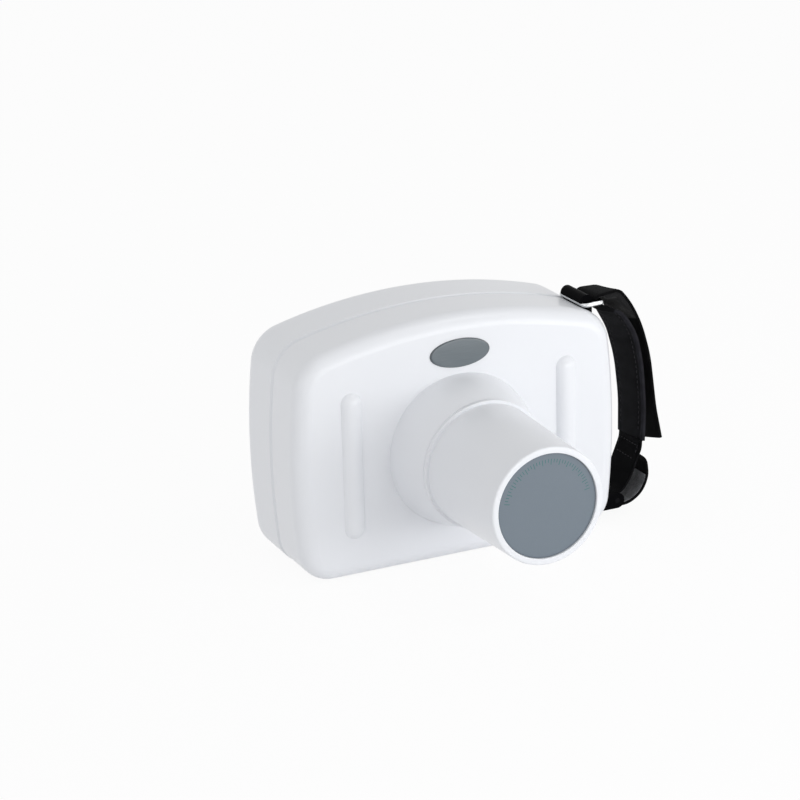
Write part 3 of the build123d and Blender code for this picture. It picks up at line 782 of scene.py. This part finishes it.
class XRAY_OT_cone(bpy.types.Operator):
    """Turn the beam cone: collar, lip bead, tube, end rim and the grey window with its tick marks"""

    bl_idname = "xray.cone"
    bl_label = "Beam cone"

    def execute(self, context):
        sizes = settings_of(context).casing
        white = moulded("cone_white", sizes.white, 0.34, **SATIN)
        for name, node, profile in (
            ("collar", "cone_collar", self.collar(sizes)),
            ("lip_ring", "cone_lip_ring", self.lip(sizes)),
            ("cone_tube_shell", "cone_tube", self.tube()),
            ("end_rim", "cone_end_rim", self.end(sizes)),
        ):
            shape = Shape(name)
            turn_round(shape, profile, closed=True)
            stand_for(shape.make(white), "cone_white", node)
        self.window(sizes)
        self.ticks(sizes)
        return {"FINISHED"}

    def collar(self, sizes):
        """The radius falls from the foot to the lip by a power of the way forward."""
        foot = extent("cone_collar", 0) / 2
        length = forward("cone_collar")[1]
        end = extent("cone_lip_ring", 0) / 2 - 0.1 * MM
        way = np.linspace(0, length, 40)
        radius = end + (foot - end) * (1 - (way / length) ** sizes.collar_bulge)
        bore = np.stack([mm(31.8, 34.0), [length, 0]], 1)
        return finer_loop(np.concatenate([np.stack([radius, way], 1), bore]), 2 * MM)

    def lip(self, sizes):
        """A short band with a flat front face and a crisp rounded edge, a fine groove behind it."""
        rear, front = forward("cone_lip_ring")
        outer = extent("cone_lip_ring", 0) / 2
        groove = outer - 0.35 * MM
        bore = outer - 5 * MM
        corners = [(bore, rear), (groove, rear), (groove, rear + 0.35 * MM), (outer, rear + 0.6 * MM)]
        corners += [(outer, front), (bore, front)]
        radii = [0, 0, 0.05 * MM, 0.2 * MM, sizes.lip_round, 0]
        return rounded_line(corners, radii, closed=True, steps=9)

    def tube(self):
        """A straight taper from the lip to the end rim, open inside."""
        rear, front = forward("cone_tube")
        start, end = cone_radii()
        wall = 2.4 * MM
        return finer_loop(
            np.array([(start, rear), (end, front), (end - wall, front), (start - wall, rear)]), 3 * MM
        )

    def end(self, sizes):
        """The rim's section: straight outside, a rounded front edge and a stepped seat for the window."""
        rear, front = forward("cone_end_rim")
        window = extent("cone_window", 0) / 2
        ledge = forward("cone_window")[0]
        seat = window + 0.1 * MM
        bore = window - 3 * MM
        corners = [(bore, rear), (cone_radii()[1], rear), (extent("cone_end_rim", 0) / 2, front)]
        corners += [(seat, front), (seat, ledge), (bore, ledge)]
        radii = [0, 0, sizes.rim_round, 0.5 * MM, 0, 0]
        return finer_loop(rounded_line(corners, radii, closed=True, steps=10), 1.5 * MM)

    def window(self, sizes):
        """A disc with a softly rounded edge."""
        rear, front = forward("cone_window")
        radius = extent("cone_window", 0) / 2
        half = np.array([(0.5 * MM, front), (radius, front), (radius, rear), (0.5 * MM, rear)])
        shape = Shape("window_disc")
        turn_round(shape, finer(rounded_line(half, [0.3 * MM, 0.1 * MM], steps=6), 2.5 * MM))
        stand_for(shape.make(window_sheet(sizes.window)), "window_grey", "cone_window")

    def ticks(self, sizes):
        """A printed arc of plain tick marks on the window, one each four degrees, each third one longer."""
        face = FACE_Y - forward("cone_window")[1]
        outer, long_inner, short_inner = mm(25.8, 22.6, 23.8)
        half_width = 0.2 * MM
        marks = Shape("window_ticks")
        for degrees in range(12, 169, 4):
            inner = long_inner if degrees % 12 == 0 else short_inner
            angle = math.radians(degrees)
            way = np.array([math.cos(angle), math.sin(angle)])
            across = half_width * np.array([-way[1], way[0]])
            corners = [inner * way - across, outer * way - across, outer * way + across, inner * way + across]
            prism(marks, np.array(corners) + (0, CONE_Z), face + 0.05 * MM, face - 0.04 * MM)
        ink = moulded("window_print", sizes.print_teal, 0.5, swing=0.15)
        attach(marks.make(ink), "casing")


class XRAY_OT_badge(bpy.types.Operator):
    """Make the blank oval badge with its domed clear face"""

    bl_idname = "xray.badge"
    bl_label = "Badge"

    def execute(self, context):
        """The height over the face is a quarter circle at the edge with a shallow parabola on top."""
        share = np.concatenate([np.linspace(0.02, 0.9, 22), 1 - 0.1 * np.linspace(1, 0, 12)[1:] ** 2])
        angle = full_turn(96)
        rounded, dome = 0.07, 0.28
        edge = np.clip((1 - share) / rounded, 0, 1)
        proud = extent("badge_plate", 1)
        height = proud * ((1 - dome) * np.sqrt(1 - (1 - edge) ** 2) + dome * (1 - share**2))
        x = np.outer(share, extent("badge_plate", 0) / 2 * np.cos(angle))
        y = FACE_Y - np.repeat(height[:, None], len(angle), 1)
        z = middle("badge_plate", 2) + np.outer(share, extent("badge_plate", 2) / 2 * np.sin(angle))
        places = np.stack(np.broadcast_arrays(share[:, None], angle / (2 * math.pi)), -1)
        shape = Shape("badge")
        shape.grid(np.stack([x, y, z], -1), caps="flat", places=places)
        film = badge_film(settings_of(context).casing.badge)
        stand_for(shape.make(film), "badge_grey", "badge_plate")
        return {"FINISHED"}


def rear_place(right, up, x, z):
    """Places on the rear face as seen from behind, where right is towards -X."""
    return np.stack([x - np.asarray(right, float), z + np.asarray(up, float)], -1)


def arc(radius, start, end, steps):
    """Points on a circle between two angles in degrees."""
    angle = np.radians(np.linspace(start, end, steps))
    return radius * np.stack([np.cos(angle), np.sin(angle)], 1)


def arc_band(radius, width, start, end, steps=28):
    """A closed outline of a curved stroke."""
    outer = arc(radius + width / 2, start, end, steps)
    return np.concatenate([outer, arc(radius - width / 2, end, start, steps)])


def bar(x, z, width, height):
    """A closed outline of a plain bar."""
    corners = np.array([(-1, -1), (1, -1), (1, 1), (-1, 1)])
    return corners * (width / 2, height / 2) + (x, z)


def tooth_outline(size):
    """A molar seen from the side: a rounded crown with two roots, as a closed curve whose radius is one
    plus small waves of two, three and four times the angle."""
    angle = full_turn(72)
    radius = 1 + 0.10 * np.cos(2 * angle) - 0.05 * np.cos(4 * angle)
    dent = 0.55 * np.exp(-((np.degrees(angle) - 270) / 17) ** 2)
    crown = 0.14 * np.exp(-((np.degrees(angle) - 90) / 22) ** 2)
    reach = size * (radius - dent - crown)
    return np.stack([0.82 * reach * np.cos(angle), 1.1 * reach * np.sin(angle)], 1)


def key_marks():
    """Outlines of each key's mark, in millimetres about the key's middle."""
    arrow = np.array([(-2.6, -1.2), (2.6, -1.2), (0.0, 2.4)])
    head = arc(1.25, 0, 360, 25)[:-1] + (0, 2.2)
    shoulders = arc(2.3, 0, 180, 24) * (1, 0.9) + (0, -2.6)
    return {
        "key_time_up": [arrow],
        "key_time_down": [arrow * (1, -1)],
        "key_tooth": [tooth_outline(2.9)],
        "key_patient": [head, shoulders],
        "key_power": [arc_band(2.5, 0.75, 125, 415), bar(0, 1.9, 0.75, 2.9)],
    }


# Lit bars of each seven-bar figure that the display shows
SEGMENTS = {"0": "abcdef", "2": "abged", "3": "abgcd", "6": "afgedc"}


def digit_segments(digit, height):
    """Closed outlines of the lit bars of one seven-bar figure, about its lower left corner."""
    width = height * 0.52
    half = height / 2
    thick = height * 0.09
    places = {
        "a": (width / 2, height, 0),
        "b": (width, half * 1.5, 90),
        "c": (width, half * 0.5, 90),
        "d": (width / 2, 0, 0),
        "e": (0, half * 0.5, 90),
        "f": (0, half * 1.5, 90),
        "g": (width / 2, half, 0),
    }
    outlines = []
    for name in SEGMENTS[digit]:
        x, z, turned = places[name]
        long_half = (half if turned else width) / 2 - thick * 0.65
        tip = thick * 0.55
        middle_part = long_half - tip
        right = [(middle_part, -tip), (long_half, 0), (middle_part, tip)]
        flat = np.array([(-long_half, 0), (-middle_part, -tip), *right, (-middle_part, tip)])
        flat = flat[:, ::-1] if turned else flat
        outlines.append(flat + (x, z))
    return outlines


class XRAY_OT_controls(bpy.types.Operator):
    """Finish the rear panel, display, keys with their marks, exposure button and charging socket"""

    bl_idname = "xray.controls"
    bl_label = "Controls"

    def execute(self, context):
        colours = settings_of(context).controls
        dress(self.membrane(colours.panel), "control_panel")
        self.keys(colours)
        self.display(colours)
        button = moulded("button_orange", colours.button, 0.36, depth=0.012 * MM, swing=0.08)
        dress(button, "exposure_button")
        dress(moulded("bezel_grey", linear(112, 117, 124), 0.34), "exposure_bezel")
        dress(moulded("inner_black", linear(28, 28, 30), 0.5, swing=0.2), "charge_socket")
        return {"FINISHED"}

    def membrane(self, colour):
        """Fine-textured panel sheet."""
        finish = Finish("panel_grey", colour, 0.48)
        grain = finish.cloud(0.5 * MM, 0.3, 0.7)
        finish.tint(grain, 0.96, 1.03)
        finish.bump(grain, 0.02 * MM)
        finish.feed(roughness=finish.cloud(15 * MM, 0.3, 0.7, 0.44, 0.54))
        return finish.material

    def print_on(self, shape, outlines, node, back, front):
        """Flat marks about a node's middle, from one depth to the other; outlines are in millimetres."""
        for outline in outlines:
            right, up = outline.T * MM
            prism(shape, rear_place(right, up, middle(node, 0), middle(node, 2)), back, front)

    def keys(self, colours):
        """Key caps, and a printed mark that rides on each key."""
        light = moulded("key_light", colours.key, 0.5, depth=0.01 * MM)
        accent = moulded("key_accent", colours.key_accent, 0.45, depth=0.01 * MM, swing=0.08)
        ink = moulded("key_print", colours.mark, 0.5, swing=0.15)
        pale = moulded("key_print_pale", linear(236, 238, 240), 0.5)
        for name, outlines in key_marks().items():
            power = name == "key_power"
            dress(accent if power else light, name)
            top = span(name, 1)[1]
            shape = Shape(name + "_mark")
            self.print_on(shape, outlines, name, top - 0.1 * MM, top + colours.mark_height)
            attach(shape.make(pale if power else ink), name)

    def display(self, colours):
        """A lit screen with plain figures behind the clear window. Each figure has its lower left corner
        right and up of the middle, and a height, in millimetres."""
        dress(glass("display_glass", linear(235, 240, 242)), "display_window")
        screen = Finish("display_screen", colours.screen, 0.5)
        cells = screen.wave("X", 0.9 * MM)
        screen.tint(screen.ramp(cells, -1.0, 1.0), 0.94, 1.04)
        dress(screen.material, "display_module")
        face = span("display_module", 1)[1]
        low, high = -8, 1.5
        big, small = 17, 6.5
        text = [("0", -22, low, big), ("3", -4, low, big), ("2", 8.5, low, big)]
        text += [("6", 19.4, high, small), ("0", 24.2, high, small)]
        text += [("2", 19.4, low, small), ("0", 24.2, low, small)]
        outlines = [bar(-9.2, -7.4, 1.6, 1.6)]
        for digit, right, up, height in text:
            outlines += [outline + (right, up) for outline in digit_segments(digit, height)]
        outlines += [bar(-24 + 2.2 * step, 13.2, 1.4, 2.6) for step in range(4)]
        figures = Shape("display_figures")
        self.print_on(figures, outlines, "display_window", face - 0.02 * MM, face + 0.05 * MM)
        ink = moulded("display_ink", linear(32, 40, 42), 0.4, swing=0.1)
        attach(figures.make(ink), "casing")


class XRAY_OT_ring(bpy.types.Operator):
    """Polish the chrome strap ring"""

    bl_idname = "xray.ring"
    bl_label = "Strap ring"

    def execute(self, context):
        chrome = metal("ring_chrome", linear(226, 228, 230), 0.07, scratch=0.1, grain=0.5 * MM)
        dress(chrome, "upper_strap_ring")
        return {"FINISHED"}


def tape_section(width, thickness):
    """Half thickness at places across a woven tape: the sixth root of one less the sixth power of the share
    of its half width, so that its long edges are round."""
    edge = np.array([1.0, 0.997, 0.985, 0.965])
    share = np.concatenate([-edge, np.linspace(-0.935, 0.935, 40), edge[::-1]])
    half = thickness / 2 * (1 - np.abs(share) ** 6) ** (1 / 6)
    return share * width / 2, half


def lay(shape, rails, y, flat, caps):
    """Puts a grid of places (x, z) on a strap into a mesh: a row for each point along, and y across."""
    depth = STRAP_Y + np.broadcast_to(y, flat.shape[:2])
    places = np.stack(np.broadcast_arrays(rails.reach[:, None], y[None, :]), -1)
    shape.grid(np.stack([flat[..., 0], depth, flat[..., 1]], -1), caps=caps, places=places)


def ribbon(name, material, rails, across, upper, lower, slant=0.0):
    """A closed band of cloth along its rails, as a finished object. Each row runs across it on its lower side
    and back on its upper side; upper and lower are heights over the rails, for each place along and across.
    With a slant, the rear edge of the last stretch is pulled on by that much, and its front edge back."""
    slant_reach = 12 * MM
    y = np.concatenate([across, across[::-1]])
    out = np.concatenate([lower, upper[:, ::-1]], 1)[..., None]
    place, normal = rails.at(y)
    flat = place + out * normal
    if slant:
        last = ease(1 - (rails.length - rails.reach) / slant_reach)
        shift = slant * last[:, None, None] * (y / (STRAP_WIDTH / 2))[None, :, None]
        flat = flat + shift * np.stack([normal[..., 1], -normal[..., 0]], -1)
    shape = Shape(name)
    lay(shape, rails, y, flat, "strip")
    return shape.make(material, CLOTH_ANGLE)


def woven_heights(sizes, reach, across, half):
    """Heights of a tape's two faces: its half thickness plus a checker of woven ribs, the product of a cosine
    along and a cosine across, faded at the tape's edges."""
    along_wave = np.cos(2 * math.pi * reach / sizes.weave_along)[:, None]
    across_wave = np.cos(2 * math.pi * across / sizes.weave_across)[None, :]
    fade = ease((1 - np.abs(across) / across.max()) / 0.12)[None, :]
    ribs = sizes.weave_relief * along_wave * across_wave * fade
    return half[None, :] + ribs, -half[None, :] + ribs


def stitches(sizes, count):
    """Places along a row of stitches, one row of seven points for each stitch, and how far each point rises:
    half a sine wave, so that the thread comes out of the cloth and dips back."""
    share = np.linspace(0, 1, 7)
    there = np.arange(count)[:, None] * (sizes.stitch_length + sizes.stitch_gap) + share * sizes.stitch_length
    rise = (np.sin(math.pi * share) * 1.3 - 0.5) * sizes.thread_radius
    thickness = sizes.thread_radius * np.sqrt(np.sin(math.pi * np.clip(share, 0.06, 0.94)))
    return there, rise, thickness


def stitch_row(shape, sizes, rails, across, height, start, end):
    """A row of stitches along a strap, between two distances."""
    count = max(1, int((end - start) / (sizes.stitch_length + sizes.stitch_gap)))
    there, rise, thickness = stitches(sizes, count)
    place, normal = (part[:, 0] for part in rails.at(across))
    lift = height + math.copysign(1, height) * rise
    x, z, nx, nz = (
        np.interp(start + there, rails.reach, values) for part in (place, normal) for values in part.T
    )
    lines = np.stack([x + nx * lift, np.full_like(x, STRAP_Y + across), z + nz * lift], -1)
    tubes(shape, lines, thickness)


def stitch_bar(shape, sizes, rails, at, height, width):
    """A row of stitches across the strap at a distance along it."""
    count = int(width / (sizes.stitch_length + sizes.stitch_gap))
    there, rise, thickness = stitches(sizes, count)
    across = there - there.mean()
    index = int(np.searchsorted(rails.reach, at))
    place, normal = (part[index].reshape(*across.shape, 2) for part in rails.at(across.ravel()))
    flat = place + (height + math.copysign(1, height) * rise)[None, :, None] * normal
    lines = np.stack([flat[..., 0], STRAP_Y + across, flat[..., 1]], -1)
    tubes(shape, lines, thickness, guide=(1.0, 0.0, 0.2))


class XRAY_OT_strap(bpy.types.Operator):
    """Weave and sew the hand strap: the tape round the ring with its free tail, the pad and the lower loop"""

    bl_idname = "xray.strap"
    bl_label = "Hand strap"

    def execute(self, context):
        sizes = settings_of(context).strap
        webbing = webbing_cloth("webbing_black", sizes.webbing)
        thread = thread_finish(sizes.thread)
        self.upper(sizes, webbing)
        self.pad(sizes, thread)
        self.lower(sizes, webbing, thread)
        return {"FINISHED"}

    def tape(self, name, sizes, rails, webbing, slant=0.0):
        """A woven tape along its rails."""
        across, half = tape_section(STRAP_WIDTH, sizes.webbing_thickness)
        upper, lower = woven_heights(sizes, rails.reach, across, half)
        return ribbon(name, webbing, rails, across, upper, lower, slant)

    def upper(self, sizes, webbing):
        """One tape from the pad's top, round the ring's outer bar and down to its free cut end."""
        rails = Rails(TAPE_FRONT, TAPE_REAR, *TAPE_RADII)
        made = self.tape("strap_tape", sizes, rails, webbing, sizes.tail_slant)
        self.hang(made)
        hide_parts("strap_upper_loop", "strap_tail")
        self.patch(sizes, rails)

    def hang(self, made):
        """Bakes the piece's place into its mesh."""
        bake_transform(made)

    def patch(self, sizes, rails):
        """Hook cloth sewn under the arch and the top of the tail. Its bulk comes and goes within a share of
        its run at either end."""
        run = rails.cut(21 * MM, 52 * MM)
        thin, bulk, sunk = 0.4 * MM, 3.2 * MM, 0.1 * MM
        rise, fall = 0.12, 0.45
        across, half = tape_section(STRAP_WIDTH - 1.0 * MM, 1.0)
        share = run.reach / run.length
        thick = bulk * ease(share / rise) * ease((1 - share) / fall) + thin
        top = -sizes.webbing_thickness / 2 + sunk
        body = 2 * half[None, :] * thick[:, None]
        hooks = loop_cloth("hook_black", sizes.pad)
        self.hang(ribbon("strap_hook_patch", hooks, run, across, np.full_like(body, top), top - body))

    def pad(self, sizes, thread):
        """The pad is thick along its middle and thin at its long edges and ends. Its half thickness follows
        the root of one less the square of the share across, with a sewn channel near each long edge."""
        end_share, end_reach = 0.55, 9 * MM
        channel_depth, channel_place, channel_width = 0.16, 8.6 * MM, 0.8 * MM
        ripple_height, ripple_length = 0.12 * MM, 11 * MM
        seam_in, seam_height, seam_end = 3.9 * MM, 1.22 * MM, 4 * MM
        rails = Rails(PAD_FRONT, PAD_REAR, PAD_RADII, reach=8)
        share = np.sin(np.linspace(-math.pi / 2, math.pi / 2, 44))
        across = share * STRAP_WIDTH / 2
        crown = (1 - share**2) ** 0.5
        from_end = np.minimum(rails.reach, rails.length - rails.reach)
        ends = end_share + (1 - end_share) * ease(from_end / end_reach)
        channel = 1 - channel_depth * np.exp(-((np.abs(across) - channel_place) / channel_width) ** 2)
        half = sizes.pad_thickness / 2 * ends[:, None] * (crown * channel)[None, :]
        ripple = ripple_height * np.sin(2 * math.pi * rails.reach / ripple_length)[:, None] * crown[None, :]
        knit = knit_cloth("pad_black", sizes.pad)
        made = ribbon("strap_hand_pad", knit, rails, across, half + ripple, -half + ripple)
        stand_for(made, "pad_black", "strap_pad")
        self.binding(sizes, rails)
        rows = Shape("strap_pad_stitches")
        for side, face in EDGES:
            inset = side * (STRAP_WIDTH / 2 - seam_in)
            stitch_row(rows, sizes, rails, inset, face * seam_height, seam_end, rails.length - seam_end)
        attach(rows.make(thread), "casing")

    def binding(self, sizes, rails):
        """Folded tape sewn round the pad's two long edges: a flattened round section along each edge."""
        inset, half_width, half_height = 1.35 * MM, 1.5 * MM, 1.05 * MM
        angle = full_turn(20)
        wide = half_width * np.sign(np.cos(angle)) * np.abs(np.cos(angle)) ** 0.7
        high = half_height * np.sign(np.sin(angle)) * np.abs(np.sin(angle)) ** 0.6
        shape = Shape("strap_pad_binding")
        for side in SIDES:
            y = side * (STRAP_WIDTH / 2 - inset) + wide
            place, normal = rails.at(y)
            lay(shape, rails, y, place + high[None, :, None] * normal, "flat")
        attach(shape.make(webbing_cloth("binding_black", sizes.binding), CLOTH_ANGLE), "casing")

    def lower(self, sizes, webbing, thread):
        """The tape from the pad round the lower pin, folded back up and sewn to itself."""
        rails = Rails(LOWER_LOOP, LOWER_LOOP, LOWER_RADII, reach=5)
        stand_for(self.tape("strap_lower_tape", sizes, rails, webbing), "webbing_black", "strap_lower_loop")
        self.painted_light_lining(sizes, rails)
        rows = Shape("strap_lower_stitches")
        height = sizes.webbing_thickness / 2
        seam_in, seam_start, seam_end = 2.4 * MM, 3.0 * MM, 12 * MM
        for at in (seam_start, 11.5 * MM):
            for face in SIDES:
                stitch_bar(rows, sizes, rails, at, face * height, STRAP_WIDTH - 4 * MM)
        for side, face in EDGES:
            inset = side * (STRAP_WIDTH / 2 - seam_in)
            stitch_row(rows, sizes, rails, inset, face * height, seam_start, seam_end)
        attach(rows.make(thread), "casing")

    def painted_light_lining(self, sizes, rails):
        """Loop cloth on the inside of the run that comes back up: a thin band over the tape's inner face. Its
        pale grey is painted light, standing for the light from above on that inner face.
        """
        start, end = 0.40, 0.84
        narrower, thickness, lift = 1.2 * MM, 0.5 * MM, 0.15 * MM
        run = rails.cut(rails.length * start, rails.length * end)
        across, half = tape_section(STRAP_WIDTH - narrower, thickness)
        top = half[None, :] + sizes.webbing_thickness / 2 + lift + np.zeros((len(run.reach), 1))
        # Painted light: the pale grey pile stands for the light falling on the return run's inner face
        pile = loop_cloth("lining_painted_light", sizes.painted_light_lining)
        made = ribbon("strap_lower_lining_painted_light", pile, run, across, top, top - 2 * half[None, :])
        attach(made, "casing")


class XRAY_OT_insides(bpy.types.Operator):
    """Finish what is inside the casing: tank, tube, boards, battery, switches"""

    bl_idname = "xray.insides"
    bl_label = "Insides"

    def execute(self, context):
        dress(metal("aluminium", linear(192, 194, 197), 0.3), "xray_tank", "beam_filter")
        dress(metal("lead", linear(112, 116, 122), 0.5, scratch=0.2), "cone_liner", "beam_collimator")
        dress(metal("copper", linear(196, 124, 84), 0.25), "tube_anode")
        core = metal("core_steel", linear(120, 122, 126), 0.4, stretch=(1, 8, 1))
        dress(core, "transformer_core", "tube_cathode")
        dress(wound("winding", linear(176, 98, 56)), "transformer_winding")
        dress(glass("tube_glass", linear(222, 232, 228)), "tube_envelope")
        dress(circuit_board(), "main_board", "multiplier_board", "key_board")
        dress(moulded("cell_blue", linear(42, 84, 150), 0.3, swing=0.08), "battery_cells")
        black = moulded("inside_black", linear(30, 30, 32), 0.5, swing=0.2)
        dress(black, "battery_holder", "key_switches", "exposure_switch", "buzzer")
        return {"FINISHED"}


def place_object(scene, name, data, right, up, back, place):
    """Puts an object into the scene, with the directions of its own axes and its place."""
    made = bpy.data.objects.new(name, data)
    columns = np.eye(4)
    columns[:3, :] = np.stack([right, up, back, place], 1)
    made.matrix_world = Matrix(columns.tolist())
    scene.collection.objects.link(made)
    return made


class XRAY_OT_stage(bpy.types.Operator):
    """Set the camera, soft lamps and pale floor"""

    bl_idname = "xray.stage"
    bl_label = "Stage"

    def execute(self, context):
        settings = settings_of(context).stage
        scene = context.scene
        scene.view_settings.view_transform = "Standard"
        self.camera(scene, settings)
        self.lamps(scene, settings)
        self.floor(scene, settings)
        self.sky(scene, settings)
        return {"FINISHED"}

    def camera(self, scene, settings):
        """The camera looks at a point beside the cone's foot, from its azimuth, elevation and distance."""
        angles = (settings.azimuth, settings.elevation, settings.roll)
        azimuth, elevation, roll = (math.radians(angle) for angle in angles)
        level = np.array([math.sin(azimuth), -math.cos(azimuth), 0])
        back = level * math.cos(elevation) + (0, 0, math.sin(elevation))
        right = unit(np.cross((0, 0, 1), back))
        up = np.cross(back, right)
        foot = np.array([0, FACE_Y, CONE_Z])
        eye = foot + right * AIM[0] + up * AIM[1] + back * settings.distance
        turned_right = right * math.cos(roll) + up * math.sin(roll)
        turned_up = up * math.cos(roll) - right * math.sin(roll)
        data = bpy.data.cameras.new("camera")
        data.lens = settings.lens
        data.sensor_width = 36.0
        scene.camera = place_object(scene, "camera", data, turned_right, turned_up, back, eye)

    def lamps(self, scene, settings):
        """A wide low lamp near by in front to the right, a smaller one above, and a weak one on the left.
        Each has a width and height and a place in metres, and faces the cone's axis."""
        for name, power, sides, place in (
            ("key_lamp", settings.key, (1.0, 0.3), (0.4, -0.76, 0.16)),
            ("top_lamp", settings.top, (0.5, 0.5), (0.8, -0.8, 1.8)),
            ("fill_lamp", settings.fill, (1.2, 0.6), (-1.3, -0.5, 0.35)),
        ):
            data = bpy.data.lights.new(name, "AREA")
            data.energy = power
            data.shape = "RECTANGLE"
            data.size, data.size_y = sides
            back = unit(np.subtract(place, (0, 0, CONE_Z)).astype(float))
            right = unit(np.cross((0, 0, 1), back))
            place_object(scene, name, data, right, np.cross(back, right), back, place)

    def floor(self, scene, settings):
        """A wide pale floor; the camera sees it nearly white, with the unit's shadow kept."""
        half = 12.0
        mesh = bpy.data.meshes.new("floor")
        corners = [(-half, -half, 0), (half, -half, 0), (half, half, 0), (-half, half, 0)]
        mesh.from_pydata(corners, [], [(0, 1, 2, 3)])
        finish = Finish("floor_white", linear(246, 246, 247), 0.9, specular_ior_level=0.1)
        finish.tint(finish.noise(40 * MM, 3.0), 0.99, 1.005)
        glow = finish.add("ShaderNodeEmission", [("Color", (1, 1, 1, 1)), ("Strength", 1.0)])
        share = finish.times(finish.seen_directly(), settings.floor_glow)
        wires = [(0, share), (1, finish.shader.outputs[0]), (2, glow.outputs[0])]
        mixed = finish.add("ShaderNodeMixShader", wires)
        finish.wire(finish.nodes["Material Output"], ("Surface", mixed.outputs[0]))
        mesh.materials.append(finish.material)
        floor = bpy.data.objects.new("floor", mesh)
        scene.collection.objects.link(floor)

    def sky(self, scene, settings):
        """Light from all round, a little stronger from low down. Camera, glossy and transmission rays see
        it as plain white."""
        world = bpy.data.worlds.new("sky")
        world.use_nodes = True
        scene.world = world
        tree = Nodes(world.node_tree)
        way = tree.add("ShaderNodeTexCoord").outputs["Generated"]
        height = tree.add("ShaderNodeSeparateXYZ", [(0, way)]).outputs["Z"]
        ends = [("To Min", settings.sky), ("To Max", settings.zenith)]
        shade = tree.add("ShaderNodeMapRange", [("Value", height), *ends]).outputs["Result"]
        wires = [("Value", tree.seen_directly()), ("To Min", shade), ("To Max", 1.0)]
        strength = tree.add("ShaderNodeMapRange", wires).outputs["Result"]
        tree.wire(tree.nodes["Background"], ("Color", (1, 1, 1, 1)), ("Strength", strength))


class XRAY_PT_panel(bpy.types.Panel):
    """Lists what builds the unit"""

    bl_idname = "XRAY_PT_panel"
    bl_label = "X-ray Unit"
    bl_space_type = "VIEW_3D"
    bl_region_type = "UI"
    bl_category = "X-ray Unit"

    def draw(self, context):
        for operator in OPERATORS:
            self.layout.operator(operator.bl_idname)
        groups = settings_of(context)
        for group in (groups.casing, groups.controls, groups.strap, groups.stage):
            box = self.layout.box()
            for name in group.__annotations__:
                box.prop(group, name)


GROUPS = (CasingSettings, ControlSettings, StrapSettings, StageSettings, UnitSettings)
OPERATORS = (
    XRAY_OT_stage,
    XRAY_OT_casing,
    XRAY_OT_cone,
    XRAY_OT_badge,
    XRAY_OT_controls,
    XRAY_OT_ring,
    XRAY_OT_strap,
    XRAY_OT_insides,
)


def register():
    for made in (*GROUPS, *OPERATORS, XRAY_PT_panel):
        bpy.utils.register_class(made)
    bpy.types.Scene.xray_unit = PointerProperty(type=UnitSettings)


def unregister():
    del bpy.types.Scene.xray_unit
    for made in reversed((*GROUPS, *OPERATORS, XRAY_PT_panel)):
        bpy.utils.unregister_class(made)


def main():
    register()
    for operator in OPERATORS:
        group, name = operator.bl_idname.split(".")
        getattr(getattr(bpy.ops, group), name)()
    bpy.context.view_layer.update()


if __name__ == "__main__":
    main()
